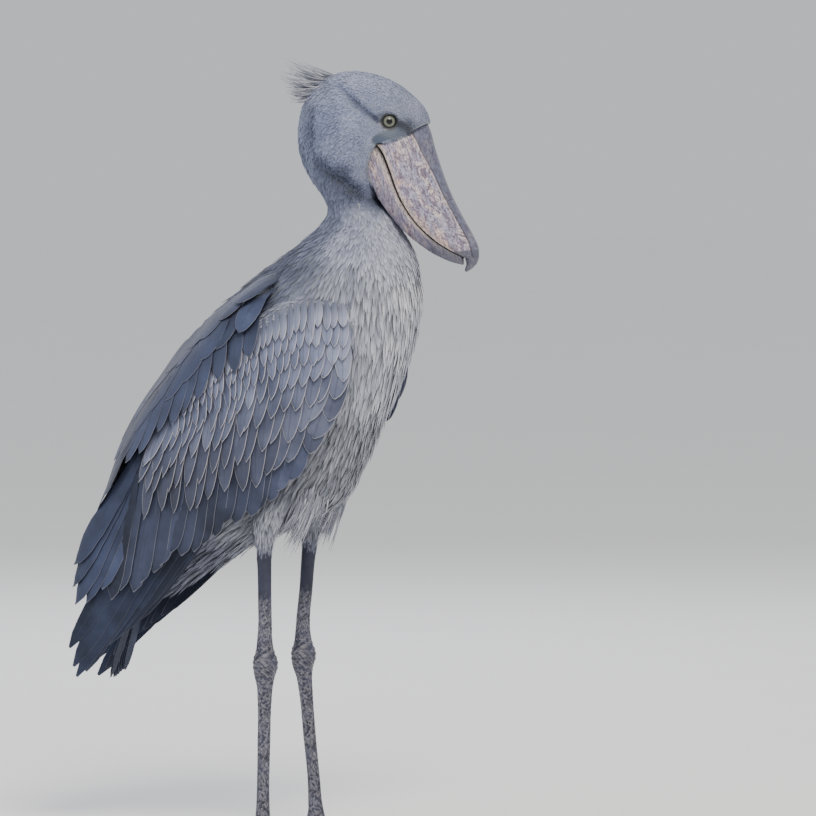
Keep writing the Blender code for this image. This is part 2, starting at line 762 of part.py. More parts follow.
def eye_place(side):
    """The middle of an eye, side -1 on the right."""
    return turned((EYE_X, side * EYE_Y, EYE_Z))


def ball(name, place, radius, segments=24, rings=14):
    """A ball of quads and triangles."""
    turns = [math.pi * i / rings for i in range(1, rings)]
    angles = np.linspace(0, 2 * math.pi, segments, endpoint=False)
    made = []
    for turn in turns:
        x, z = np.cos(angles) * math.sin(turn), np.sin(angles) * math.sin(turn)
        made.append(np.array(place) + radius * np.stack([x, np.full(segments, -math.cos(turn)), z], -1))
    poles = [np.array(place) + radius * np.array([0, y, 0]) for y in (-1, 1)]
    return loft(name, made, None, poles[0], poles[1])


def lid_opening(name, side):
    """A cone that opens the lids round the eye's front."""
    centre = np.array(eye_place(side))
    outward = turned_way((0.24, side, 0.05))
    outward /= np.linalg.norm(outward)
    up = np.array([0, 0, 1.0])
    ahead = np.cross(up, outward)
    ahead /= np.linalg.norm(ahead)
    up = np.cross(outward, ahead)
    angles = np.linspace(0, 2 * math.pi, 14, endpoint=False)
    rings = []
    for reach, size in ((0.0, 0.35), (0.04, 2.2)):
        spot = centre + outward * reach
        width = EYE_OPENING * size * np.cos(angles)
        height = EYE_OPENING * size * 0.9 * np.sin(angles)
        rings.append(spot + ahead * width[:, None] + up * height[:, None])
    return loft(name, rings)


def crest_locks():
    """Flat tapered locks from the back of the crown."""
    made = []
    middle = CREST_LOCKS // 2
    for i in range(CREST_LOCKS):
        share = i / (CREST_LOCKS - 1)
        root, tip = along(CREST_ROOTS, share), along(CREST_TIPS, share)
        tip = root + (tip - root) * (0.9 + 0.14 * math.sin(4.0 * i + 1.0))
        y = CREST_SPACING * ((5 * i) % CREST_LOCKS - middle)
        rings = lock_rings(root, tip, y, y * CREST_SPREAD, LOCK_WIDTH, LOCK_THICK, LOCK_BOW)
        made.append(loft(f"lock_{i}", [turned(ring) for ring in rings]))
    return made


def make_head(plumage):
    """The head with lids and crest, cut along the feather edge and under the jaw."""
    head = body_shape("head", HEAD_LOW_S - 0.04, 1.0, 17, 24)
    roots = [bill_shape("root_up", True, 0.9, 8), bill_shape("root_low", False, 0.9, 8)]
    lids = [
        ball(f"lid_{side}", eye_place(side), EYE_RADIUS + LID_THICK, 14, 8) for side in (-1, 1)
    ]
    boolean(head, roots + lids + crest_locks(), "UNION")
    boolean(head, [face_prism("face", 0.0)], "DIFFERENCE")
    cuts = []
    for side in (-1, 1):
        cuts.append(ball(f"socket_{side}", eye_place(side), EYE_RADIUS + GAP, 14, 8))
        cuts.append(lid_opening(f"opening_{side}", side))
    boolean(head, cuts, "DIFFERENCE")
    place, normal = rib_plane(RIB_HEAD_LOW, GAP)
    cut_flat(head, turned(place), -turned_way(normal))
    head.data.materials.clear()
    head.data.materials.append(plumage)
    return head


def nostril(name, side):
    """A slit cutter in the groove beside the ridge."""
    start, end = np.array([222.5, 1004.0]), np.array([226.5, 989.0])
    rings = []
    for share, half in ((0.0, 0.3), (0.5, 1.0), (1.0, 0.3)):
        spot = start + (end - start) * share
        y = side * (RIDGE_HALF + 1.6)
        box = [(-9, -half), (9, -half), (9, half), (-9, half)]
        ring = [(spot[0] + dx * 0.85, y + w + side * dx * -0.1, spot[1] + dx * 0.3) for dx, w in box]
        rings.append(turned(np.array(ring) * MM))
    return loft(name, rings)


def make_bill(horn):
    """The two jaws, closed on each other, cut along the feather edge."""
    upper = bill_shape("bill_upper", True)
    boolean(upper, [face_prism("front", GAP)], "INTERSECT")
    boolean(upper, [nostril("nostril_r", -1), nostril("nostril_l", 1)], "DIFFERENCE")
    lower = bill_shape("bill_lower", False)
    boolean(lower, [face_prism("front", GAP)], "INTERSECT")
    for jaw in (upper, lower):
        jaw.data.materials.clear()
        jaw.data.materials.append(horn)


def make_eyes(iris):
    """The two eyeballs."""
    for side, word in ((-1, "right"), (1, "left")):
        made = ball(f"eye_{word}", eye_place(side), EYE_RADIUS, 14, 8)
        made.data.materials.append(iris)
        made.data.shade_smooth()


def arm_pad(name, side):
    """The wing's arm: a pad that fits the body inside and bulges outside."""
    rows, columns = 12, 6
    top, low = smooth_line(ARM_TOP, rows) * MM, smooth_line(ARM_LOW, rows) * MM
    outer, inner = [], []
    for i in range(rows):
        u = i / (rows - 1)
        far, near = [], []
        for j in range(columns):
            v = j / (columns - 1)
            x, z = top[i] * (1 - v) + low[i] * v
            nearest = min(1.0, 0.3 + min(u, 1 - u, v) / ARM_ROUND)
            skin = BODY.beside(x, z, -3 * MM, side)
            face = WING.beside(x, z, (ARM_FACE + ARM_SINK * (nearest**0.5 - 1)) * MM, side)
            depth = max(abs(face[1]) - abs(skin[1]), ARM_EDGE * MM)
            face = skin + (face - skin) * max(1.0, depth / max(np.linalg.norm(face - skin), 1e-6))
            far.append(face)
            near.append(skin)
        outer.append(far)
        inner.append(near)
    return vane_mesh(name, np.array(outer), np.array(inner))


def make_wing(word, side, grey):
    """A folded wing: the arm with its tiers of flight feathers and coverts."""
    wing = arm_pad(f"wing_{word}", side)
    vanes = [vane for tier in WING_TIERS for vane in tier_vanes(tier, word, side)]
    boolean(wing, vanes, "UNION")
    boolean(wing, [trunk("keep_out", GAP)], "DIFFERENCE")
    wing.data.materials.clear()
    wing.data.materials.append(grey)
    return wing


def make_tail(grey):
    """The tail: its root behind the rump, and the tail feathers fanned over each other."""
    tail = body_shape("tail", 0.0, RUMP_S + 0.05, 5, 24, -2 * MM)
    place, normal = rib_plane(RIB_RUMP_END, -GAP)
    cut_flat(tail, place, normal)
    root, tip = np.array(TAIL_ROOT, float), np.array(TAIL_TIP, float)
    run = (tip - root) / np.linalg.norm(tip - root)
    under = np.array([-run[1], run[0]])
    vanes = []
    for side in (-1, 1):
        for pair in range(TAIL_PAIRS):
            share = pair / (TAIL_PAIRS - 1)
            length = np.linalg.norm(tip - root) * (1 - 0.09 * share)
            sink = 1.6 * pair + (0.8 if side > 0 else 0.0)
            top, low = [], []
            for k in range(5):
                t = k / 4
                middle = root + run * length * t + under * (8 + sink) * (0.4 + 0.6 * t)
                y = side * (5 + TAIL_SPREAD * share * (0.35 + 0.65 * t))
                half = TAIL_WIDTH / 2 * vane_width(t, 0.25)
                for rim, offset in ((top, -0.45), (low, 0.45)):
                    spot = middle + under * offset
                    rim.append(
                        [(spot[0] * MM, (y + half * w) * MM, spot[1] * MM) for w in (-1, 1)]
                    )
            vanes.append(vane_mesh(f"rectrix_{side}_{pair}", np.array(top), np.array(low)))
    boolean(tail, vanes, "UNION")
    tail.data.materials.clear()
    tail.data.materials.append(grey)
    return tail


def round_ring(x, y, z, fore, wide, sides=12):
    """A level oval ring, in millimetres."""
    angles = np.linspace(0, 2 * math.pi, sides, endpoint=False)
    ring = np.stack([x + fore * np.cos(angles), y + wide * np.sin(angles), np.full(sides, z)], -1)
    return ring * MM


def make_leg(word, side, plumage, skin, claw_horn):
    """One leg: feathered thigh, bare shank, tarsus, four toes and their claws."""
    y = side * LEG_Y
    thigh_x, ankle_x, foot_x = THIGH_X[word], ANKLE_X[word], FOOT_X[word]
    rings = [
        round_ring(thigh_x + 22, y * 0.86, THIGH_TOP_Z + 6, 34, 26),
        round_ring(thigh_x + 14, y * 0.92, 492, 33, 27),
        round_ring(thigh_x + 4, y * 0.98, 462, 24, 22),
        round_ring(thigh_x + 1, y, 440, 16, 15.5),
        round_ring(thigh_x, y, THIGH_END_Z + GAP / MM, 11.5, 11.5),
    ]
    thigh = loft(f"thigh_{word}", rings, plumage)
    boolean(thigh, [trunk("keep_out", GAP)], "DIFFERENCE")
    thigh.data.materials.clear()
    thigh.data.materials.append(plumage)

    shank_x = thigh_x + (ankle_x - thigh_x) * 0.6
    rings = [
        round_ring(thigh_x, y, THIGH_END_Z, 10.6, 10),
        round_ring(shank_x, y, 350, 9.8, 9),
        round_ring(ankle_x, y, 300, 10.5, 9.5),
        round_ring(ankle_x, y, 272, 14, 12),
        round_ring(ankle_x + 0.5, y, 261, 17, 13.5),
        round_ring(ankle_x + 0.5, y, ANKLE_Z + 1.2, 16.5, 13),
    ]
    loft(f"shank_{word}", rings, skin)
    low_x = ankle_x + (foot_x - ankle_x) * 0.85
    rings = [
        round_ring(ankle_x, y, ANKLE_Z + 0.9, 16.5, 13),
        round_ring(ankle_x - 0.5, y, 242, 15.5, 13),
        round_ring(ankle_x + (foot_x - ankle_x) * 0.1, y, 222, 11.5, 9.5),
        round_ring(ankle_x + (foot_x - ankle_x) * 0.5, y, 140, 9.3, 8),
        round_ring(low_x, y, 55, 9.6, 8.5),
        round_ring(foot_x, y, 30, 11, 11),
        round_ring(foot_x, y, 10, HUB_RADIUS - 1, HUB_RADIUS - 1),
        round_ring(foot_x, y, 0, HUB_RADIUS, HUB_RADIUS),
    ]
    tarsus = loft(f"tarsus_{word}", rings, skin)
    for toe in TOES:
        angle = math.radians(side * toe.angle)
        way = np.array([math.cos(angle), math.sin(angle), 0.0])
        start = np.array([foot_x, y, 0.0]) + way * HUB_INNER
        cut_flat(tarsus, start * MM, way)
        make_toe(f"{toe.name}_{word}", start + way * GAP / MM, way, toe, skin, claw_horn)


def toe_ring(spot, way, half, height):
    """An upright ring across a toe, flat where it rests on the floor."""
    across = np.array([-way[1], way[0], 0.0])
    angles = np.linspace(0, 2 * math.pi, 8, endpoint=False) + math.pi / 8
    ring = []
    for angle in angles:
        up = height / 2 + height * 0.56 * math.sin(angle)
        ring.append(spot + across * half * math.cos(angle) + np.array([0, 0, max(0.0, up)]))
    return np.array(ring) * MM


def make_toe(name, start, way, toe, skin, claw_horn):
    """A toe of swelling pads on the floor, and the curved claw at its end."""
    steps = 2 * toe.pads
    rings = []
    for i in range(steps + 1):
        share = i / steps
        radius = toe.radius * (1 - 0.42 * share)
        radius *= 1 - 0.13 * (0.5 + 0.5 * math.cos(2 * math.pi * share * toe.pads))
        radius = min(radius, TOE_CROWDING * (HUB_INNER + toe.length * share))
        rings.append(toe_ring(start + way * toe.length * share, way, radius, 1.75 * radius))
    loft(f"toe_{name}", rings, skin)
    root = start + way * (toe.length + GAP / MM)
    base = toe.radius * 0.5
    claw = []
    for i in range(5):
        share = i / 5
        arch = base * 1.05 + 1.5 * math.sin(math.pi * min(share * 1.3, 1.0)) - base * 0.75 * share**1.5
        size = base * (1 - 0.78 * share)
        spot = root + way * toe.claw * share
        across = np.array([-way[1], way[0], 0.0])
        angles = np.linspace(0, 2 * math.pi, 6, endpoint=False)
        ring = [
            spot + across * size * 0.8 * math.cos(a) + np.array([0, 0, max(0.3, arch + size * math.sin(a))])
            for a in angles
        ]
        claw.append(np.array(ring) * MM)
    end = (root + way * toe.claw + np.array([0, 0, 0.5])) * MM
    loft(f"claw_{name}", claw, claw_horn, claw[0].mean(axis=0), end)


def centre_on_floor():
    """Moves the whole model so that the middle of its box stands over the origin."""
    corners = []
    for made in bpy.context.scene.objects:
        corners += [made.matrix_world @ v.co for v in made.data.vertices]
    spots = np.array(corners)
    low, high = spots.min(axis=0), spots.max(axis=0)
    shift = -(low + high) / 2
    shift[2] = -low[2]
    for made in bpy.context.scene.objects:
        for vertex in made.data.vertices:
            vertex.co.x += shift[0]
            vertex.co.y += shift[1]
            vertex.co.z += shift[2]


def main():
    for old in list(bpy.data.objects):
        bpy.data.objects.remove(old)
    plumage = material("plumage", PLUMAGE, 0.85)
    grey = material("flight feathers", WING_GREY, 0.7)
    horn = material("bill horn", HORN, 0.45)
    skin = material("leg skin", LEG_SKIN, 0.6)
    claw_horn = material("claw horn", CLAW_HORN, 0.4)
    iris = material("eye", IRIS, 0.1)
    make_torso(plumage)
    make_neck(plumage)
    make_head(plumage)
    make_bill(horn)
    make_eyes(iris)
    for side, word in ((-1, "right"), (1, "left")):
        make_wing(word, side, grey)
        make_leg(word, side, plumage, skin, claw_horn)
    make_tail(grey)
    centre_on_floor()


main()
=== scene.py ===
"""The dressed look of a life-size shoebill that stands at rest.

The bench frame is the one that the solids were worked out on: millimetres, the bird faces +X,
its left side is +Y, the soles are at z = 0. Forms are made on it in metres and moved into the
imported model's frame by one shift, which the right eye's place gives.
"""

from __future__ import annotations

import json
import logging
import math
from dataclasses import dataclass, field
from enum import Enum
from typing import Callable, Sequence

import bmesh
import bpy
import numpy as np
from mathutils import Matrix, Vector
from mathutils.bvhtree import BVHTree
from mathutils.kdtree import KDTree

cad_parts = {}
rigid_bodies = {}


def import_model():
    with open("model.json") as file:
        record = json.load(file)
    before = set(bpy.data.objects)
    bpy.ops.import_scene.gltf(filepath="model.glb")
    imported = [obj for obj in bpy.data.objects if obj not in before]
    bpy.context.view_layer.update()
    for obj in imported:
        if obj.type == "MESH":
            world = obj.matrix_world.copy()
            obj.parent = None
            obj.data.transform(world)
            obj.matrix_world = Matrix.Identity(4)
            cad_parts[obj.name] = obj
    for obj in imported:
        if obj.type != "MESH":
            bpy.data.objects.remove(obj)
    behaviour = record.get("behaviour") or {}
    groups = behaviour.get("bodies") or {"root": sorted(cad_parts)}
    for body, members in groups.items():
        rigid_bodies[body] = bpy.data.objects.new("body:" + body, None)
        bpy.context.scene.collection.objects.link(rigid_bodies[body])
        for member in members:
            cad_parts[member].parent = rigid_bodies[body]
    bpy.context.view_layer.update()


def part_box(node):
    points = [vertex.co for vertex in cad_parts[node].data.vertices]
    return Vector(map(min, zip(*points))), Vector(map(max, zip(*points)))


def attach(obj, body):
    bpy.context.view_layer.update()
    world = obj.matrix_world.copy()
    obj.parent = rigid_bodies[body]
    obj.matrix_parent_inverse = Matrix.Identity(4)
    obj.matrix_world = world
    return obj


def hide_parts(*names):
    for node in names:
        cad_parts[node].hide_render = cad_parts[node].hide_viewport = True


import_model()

log = logging.getLogger("shoebill")

MM = 0.001
SIDES = ((-1, "right"), (1, "left"))

# The trunk, neck and head, from the rump to the face: where each rib meets the back line and
# the belly line of the side view, its half width, and how far the widest place sits low.
BODY_RIBS = [
    (-298, 402, -206, 334, 34, 0.0),
    (-293, 446, -168, 350, 48, 0.0),
    (-283, 485, -132, 372, 60, 0.0),
    (-265, 534, -90, 396, 75, 0.0),
    (-244, 583, -40, 424, 90, 0.0),
    (-217, 629, 24, 452, 104, 0.0),
    (-187, 669, 86, 484, 115, 0.0),
    (-146, 724, 120, 537, 121, 0.0),
    (-92, 778, 150, 602, 120, 0.0),
    (-33, 825, 179, 668, 112, 0.05),
    (24, 865, 202, 742, 96, 0.12),
    (60, 894, 206, 802, 77, 0.15),
    (70, 911, 196, 852, 62, 0.1),
    (63, 928, 172, 890, 52, 0.05),
    (52, 944, 152, 912, 48, 0.05),
    (39, 966, 142, 923, 48, 0.1),
    (29, 993, 138, 928, 50, 0.15),
    (26, 1025, 137, 936, 52, 0.2),
    (34, 1064, 138, 944, 53, 0.25),
    (59, 1096, 141, 950, 53, 0.28),
    (94, 1111, 146, 954, 52, 0.3),
    (131, 1109, 153, 958, 51, 0.3),
    (165, 1097, 162, 964, 50, 0.3),
    (193, 1078, 174, 972, 46, 0.3),
    (212, 1057, 188, 985, 40, 0.25),
    (219, 1040, 202, 1004, 30, 0.2),
]
RIB_NECK_LOW, RIB_HEAD_LOW = 11, 14

WING_RIBS = [
    (-322, 205, -300, 188, 34, 0.0),
    (-321, 262, -264, 228, 42, 0.0),
    (-318, 325, -228, 262, 52, 0.0),
    (-311, 388, -196, 296, 63, 0.0),
    (-299, 444, -158, 326, 75, 0.0),
    (-281, 494, -118, 352, 87, 0.0),
    (-259, 541, -74, 380, 100, 0.0),
    (-237, 592, -26, 408, 115, 0.0),
    (-211, 640, 36, 436, 128, 0.0),
    (-182, 681, 92, 470, 137, 0.0),
    (-137, 729, 128, 526, 142, 0.0),
    (-87, 781, 160, 594, 143, 0.0),
    (-30, 826, 190, 662, 137, 0.0),
    (28, 866, 214, 738, 120, 0.0),
    (66, 900, 218, 806, 92, 0.0),
]
WING_BOXINESS = 0.62

HEAD_TURN = math.radians(12.0)
NECK_AXIS_X = 100 * MM

# Soft forms of the head in the side view: x, z, radius, height.
HEAD_SWELLS = [
    (142, 935, 18, 9.0),
    (150, 1066, 20, 3.0),
    (178, 1058, 16, 2.5),
    (166, 1037, 15, -5.0),
    (92, 1035, 38, 5.0),
    (60, 1000, 30, 3.0),
    (108, 950, 24, 3.0),
    (186, 1022, 14, -3.0),
    (118, 1046, 20, 2.5),
    (122, 968, 20, 3.0),
]

# Folds of the head in the side view.
BROW_CREASE = ((151, 1040), (146, 1044), (136, 1052), (127, 1060), (117, 1069), (107, 1079), (98, 1089))
EYE_BROW = ((148, 1044), (154, 1049), (162, 1051), (171, 1047), (181, 1039), (191, 1031))
JOWL_FOLD = ((62, 985), (83, 966), (105, 951), (124, 935), (142, 922))
NAPE_FOLD = ((56, 1060), (52, 1035), (56, 1008))

EYE_AT = np.array([163.0, 31.5, 1039.0]) * MM
EYE_RADIUS = 13 * MM


def smooth_line(points: Sequence, count: int) -> np.ndarray:
    """Reads evenly spaced points from a smooth curve.

    Args:
        points: Rows of numbers, of which the first two give the distance between rows.
        count: How many rows to read.

    Returns:
        An array of count rows.
    """
    rows = np.array(points, float)
    steps = np.maximum(np.linalg.norm(np.diff(rows[:, :2], axis=0), axis=1), 1e-9)
    at = np.concatenate([[0.0], np.cumsum(steps)])
    slope = np.gradient(rows, at, axis=0)
    where = np.linspace(0.0, at[-1], count)
    piece = np.clip(np.searchsorted(at, where, side="right") - 1, 0, len(rows) - 2)
    width = (at[piece + 1] - at[piece])[:, None]
    t = (where - at[piece])[:, None] / width
    return (
        (2 * t**3 - 3 * t**2 + 1) * rows[piece]
        + (t**3 - 2 * t**2 + t) * width * slope[piece]
        + (3 * t**2 - 2 * t**3) * rows[piece + 1]
        + (t**3 - t**2) * width * slope[piece + 1]
    )


def along(line: Sequence, share: np.ndarray | float) -> np.ndarray:
    """The points at shares (0 to 1) of a smooth line's length."""
    fine = smooth_line(line, 121)
    spot = np.asarray(share, float) * 120
    return np.stack([np.interp(spot, range(121), fine[:, k]) for k in range(fine.shape[1])], -1)


def turned(points: np.ndarray, share: np.ndarray | float = 1.0) -> np.ndarray:
    """Points turned about the neck's upright axis by a share of the head's turn."""
    points = np.asarray(points, float)
    angle = HEAD_TURN * np.asarray(share, float)
    x, y = points[..., 0] - NECK_AXIS_X, points[..., 1]
    return np.stack(
        [
            NECK_AXIS_X + x * np.cos(angle) - y * np.sin(angle),
            x * np.sin(angle) + y * np.cos(angle),
            points[..., 2],
        ],
        -1,
    )


def turned_way(way: Sequence) -> np.ndarray:
    """A direction turned with the head, one long."""
    middle = np.array([NECK_AXIS_X, 0.0, 0.0])
    found = turned(middle + np.asarray(way, float)) - middle
    return found / np.linalg.norm(found)


def unit(vectors: np.ndarray) -> np.ndarray:
    """Vectors scaled to a length of one."""
    return vectors / np.maximum(np.linalg.norm(vectors, axis=-1, keepdims=True), 1e-12)


def soft_step(value: np.ndarray, low: float, high: float) -> np.ndarray:
    """A smooth rise from 0 at low to 1 at high."""
    t = np.clip((np.asarray(value, float) - low) / (high - low), 0, 1)
    return t * t * (3 - 2 * t)


def off_line(plain: np.ndarray, line: Sequence) -> tuple[np.ndarray, np.ndarray]:
    """How far points lie from a smooth line of the side view.

    Args:
        plain: Points in metres.
        line: Rows of x and z in millimetres.

    Returns:
        The distance in millimetres, and the share of the line that is nearest.
    """
    spine = smooth_line(line, 40)
    away = np.linalg.norm(plain[:, None, [0, 2]] / MM - spine[None], axis=2)
    return away.min(axis=1), away.argmin(axis=1) / 39


def seeded(number: int) -> np.random.Generator:
    """A random source that gives the same numbers each run."""
    return np.random.default_rng(number)


SHIFT = (np.array(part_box("eye_right")).mean(axis=0)) - turned(EYE_AT * [1, -1, 1])


class Hull:
    """A form swept through ribs, with a point for every place of its side view."""

    def __init__(self, ribs: Sequence, boxiness: float = 1.0) -> None:
        """Reads the ribs into a fine table.

        Args:
            ribs: Rows of back x, back z, belly x, belly z, half width and skew.
            boxiness: Below 1 squares the sides off.
        """
        self.rows = smooth_line(ribs, 241) * MM
        self.rows[:, 5] /= MM
        self.boxiness = boxiness

    def rib(self, s: np.ndarray) -> np.ndarray:
        """The rib's six numbers at s, from 0 at the first rib to 1 at the last."""
        place = np.clip(s, 0, 1) * (len(self.rows) - 1)
        low = np.minimum(np.asarray(place, int), len(self.rows) - 2)
        part = (place - low)[..., None]
        return self.rows[low] * (1 - part) + self.rows[low + 1] * part

    def surface(self, s: np.ndarray, angle: np.ndarray) -> np.ndarray:
        """The point at s and angle, which is 0 at the back and pi at the belly."""
        bx, bz, vx, vz, half, skew = np.moveaxis(self.rib(s), -1, 0)
        down = (1 - np.cos(angle)) / 2
        side = np.sin(angle)
        out = np.sign(side) * np.abs(side) ** self.boxiness * (1 - skew * np.cos(angle))
        return np.stack([bx + (vx - bx) * down, half * out, bz + (vz - bz) * down], -1)

    def point(self, s: np.ndarray, angle: np.ndarray, lift: np.ndarray | float = 0.0) -> np.ndarray:
        """The surface point, moved outwards by lift."""
        s, angle = np.broadcast_arrays(np.asarray(s, float), np.asarray(angle, float))
        step = 1e-3
        ahead = self.surface(np.clip(s + step, 0, 1), angle)
        run = ahead - self.surface(np.clip(s - step, 0, 1), angle)
        turn = self.surface(s, angle + step) - self.surface(s, angle - step)
        normal = unit(np.cross(run, turn))
        return self.surface(s, angle) + normal * np.asarray(lift, float)[..., None]

    def locate(self, x: np.ndarray, z: np.ndarray) -> tuple[np.ndarray, np.ndarray]:
        """The s and angle of the place on one side that the side view shows at x, z."""
        x, z = np.asarray(x, float), np.asarray(z, float)
        bx, bz, vx, vz = self.rows[:, :4].T
        cross = (vx - bx) * (z[..., None] - bz) - (vz - bz) * (x[..., None] - bx)
        turns = (cross[..., :-1] >= 0) & (cross[..., 1:] < 0)
        beyond = np.where(cross[..., 0] < 0, 0, len(self.rows) - 2)
        first = np.where(turns.any(-1), turns.argmax(-1), beyond)
        low = np.take_along_axis(cross, first[..., None], -1)[..., 0]
        high = np.take_along_axis(cross, first[..., None] + 1, -1)[..., 0]
        part = np.clip(low / np.where(abs(low - high) < 1e-12, 1.0, low - high), 0, 1)
        s = (first + part) / (len(self.rows) - 1)
        bx, bz, vx, vz, _, _ = np.moveaxis(self.rib(s), -1, 0)
        share = (x - bx) * (vx - bx) + (z - bz) * (vz - bz)
        share /= (vx - bx) ** 2 + (vz - bz) ** 2
        return s, np.arccos(np.clip(1 - 2 * share, -0.985, 0.985))

    def beside(self, x: np.ndarray, z: np.ndarray, lift: np.ndarray | float, side: int) -> np.ndarray:
        """The point beside the side view's x, z in metres, at lift, on side +1 or -1."""
        s, angle = self.locate(x, z)
        return self.point(s, angle, lift) * np.array([1.0, side, 1.0])


BODY = Hull(BODY_RIBS)
WING = Hull(WING_RIBS, WING_BOXINESS)


def rib_share(ribs: Sequence, number: int) -> float:
    """How far along the hull a rib lies, as a share of its length."""
    rows = np.array(ribs, float)
    steps = np.linalg.norm(np.diff(rows[:, :2], axis=0), axis=1)
    return float(steps[:number].sum() / steps.sum())


NECK_LOW_S = rib_share(BODY_RIBS, RIB_NECK_LOW)
HEAD_LOW_S = rib_share(BODY_RIBS, RIB_HEAD_LOW)


def head_share(s: np.ndarray | float) -> np.ndarray:
    """How much of the head's turn a place along the body takes."""
    return soft_step(s, NECK_LOW_S, HEAD_LOW_S)


# Mesh making


def mesh_object(name: str, points: np.ndarray, faces: Sequence, smooth: bool = True) -> bpy.types.Object:
    """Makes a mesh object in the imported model's frame.

    Args:
        name: The object's name.
        points: Places on the bench, in metres.
        faces: Corner numbers of each face.
        smooth: Whether the faces are shaded smooth.

    Returns:
        The object, its origin at the frame's origin.
    """
    mesh = bpy.data.meshes.new(name)
    spots = np.asarray(points, float) + SHIFT
    mesh.from_pydata(spots.tolist(), [], [tuple(map(int, f)) for f in faces])
    mesh.polygons.foreach_set("use_smooth", [smooth] * len(mesh.polygons))
    made = bpy.data.objects.new(name, mesh)
    bpy.context.scene.collection.objects.link(made)
    return made


def face_outwards(made: bpy.types.Object) -> bpy.types.Object:
    """Turns a closed mesh's faces outwards."""
    shell = bmesh.new()
    shell.from_mesh(made.data)
    bmesh.ops.recalc_face_normals(shell, faces=shell.faces)
    shell.to_mesh(made.data)
    shell.free()
    return made


def loft(name: str, rings: Sequence, start: np.ndarray | None = None, end: np.ndarray | None = None) -> bpy.types.Object:
    """A closed skin over rings of equal count.

    Args:
        name: The object's name.
        rings: Arrays of points, one for each ring.
        start: The pole before the first ring, or None for the ring's middle.
        end: The pole after the last ring, or None for the ring's middle.

    Returns:
        The closed object.
    """
    count = len(rings[0])
    ends = [rings[0].mean(axis=0) if start is None else start]
    ends.append(rings[-1].mean(axis=0) if end is None else end)
    points = np.concatenate([*rings, np.array(ends)])
    faces = []
    for i in range(len(rings) - 1):
        for j in range(count):
            k = (j + 1) % count
            a, b = i * count + j, i * count + k
            faces.append((a, b, b + count, a + count))
    last = (len(rings) - 1) * count
    for j in range(count):
        k = (j + 1) % count
        faces.append((j, k, len(points) - 2))
        faces.append((last + j, last + k, len(points) - 1))
    return face_outwards(mesh_object(name, points, faces))


def boolean(target: bpy.types.Object, others: Sequence, operation: str) -> bpy.types.Object:
    """Applies one Boolean of closed meshes to target, removes them, and keeps one surface."""
    cutters = bpy.data.collections.new("cutters")
    bpy.context.scene.collection.children.link(cutters)
    for other in others:
        bpy.context.scene.collection.objects.unlink(other)
        cutters.objects.link(other)
    step = target.modifiers.new("step", "BOOLEAN")
    step.operand_type = "COLLECTION"
    step.collection = cutters
    step.operation = operation
    step.solver = "EXACT"
    bake(target)
    for other in list(cutters.objects):
        bpy.data.objects.remove(other)
    bpy.data.collections.remove(cutters)
    keep_largest(target)
    return target


def bake(target: bpy.types.Object) -> None:
    """Turns an object's modifiers into plain mesh."""
    bpy.context.view_layer.update()
    graph = bpy.context.evaluated_depsgraph_get()
    result = bpy.data.meshes.new_from_object(
        target.evaluated_get(graph), preserve_all_data_layers=True, depsgraph=graph
    )
    target.modifiers.clear()
    target.data = result


def keep_largest(target: bpy.types.Object) -> None:
    """Keeps only the largest closed surface of a mesh."""
    shell = bmesh.new()
    shell.from_mesh(target.data)
    shell.faces.ensure_lookup_table()
    seen: set[int] = set()
    groups = []
    for face in shell.faces:
        if face.index in seen:
            continue
        group, queue = [], [face]
        seen.add(face.index)
        while queue:
            here = queue.pop()
            group.append(here)
            for edge in here.edges:
                for other in edge.link_faces:
                    if other.index not in seen:
                        seen.add(other.index)
                        queue.append(other)
        groups.append(group)
    groups.sort(key=len, reverse=True)
    spare = [f for group in groups[1:] for f in group]
    bmesh.ops.delete(shell, geom=spare, context="FACES")
    shell.to_mesh(target.data)
    shell.free()
    target.data.polygons.foreach_set("use_smooth", [True] * len(target.data.polygons))


def points_of(made: bpy.types.Object) -> np.ndarray:
    """A mesh's vertices on the bench."""
    found = np.empty(len(made.data.vertices) * 3)
    made.data.vertices.foreach_get("co", found)
    return found.reshape(-1, 3) - SHIFT


def normals_of(made: bpy.types.Object) -> np.ndarray:
    """A mesh's vertex normals."""
    found = np.empty(len(made.data.vertices) * 3, np.float32)
    made.data.vertex_normals.foreach_get("vector", found)
    return found.reshape(-1, 3).astype(float)


def set_attribute(made: bpy.types.Object, name: str, values: np.ndarray) -> None:
    """Writes numbers or vectors to a mesh's vertices under a name."""
    values = np.asarray(values, np.float32)
    kind, key = ("FLOAT_VECTOR", "vector") if values.ndim == 2 else ("FLOAT", "value")
    layer = made.data.attributes.get(name) or made.data.attributes.new(name, kind, "POINT")
    layer.data.foreach_set(key, values.ravel())


def get_attribute(made: bpy.types.Object, name: str, width: int) -> np.ndarray:
    """Reads a mesh's vertex attribute: width 1 for numbers, 3 for vectors."""
    layer = made.data.attributes[name]
    found = np.empty(len(layer.data) * width, np.float32)
    layer.data.foreach_get("vector" if width == 3 else "value", found)
    return found.reshape(-1, width) if width > 1 else found


def add_node(tree: bpy.types.NodeTree, kind: str, inputs: dict | None = None, **settings) -> bpy.types.Node:
    """Adds a node with its settings and its inputs.

    Args:
        tree: The node tree.
        kind: The node's type.
        inputs: Socket name or number to a value, or to the output that feeds it.
        settings: The node's own properties.

    Returns:
        The node.
    """
    node = tree.nodes.new(kind)
    for key, value in settings.items():
        setattr(node, key, value)
    for key, value in (inputs or {}).items():
        socket = node.inputs[key]
        if isinstance(value, bpy.types.NodeSocket):
            tree.links.new(value, socket)
        else:
            socket.default_value = value
    return node


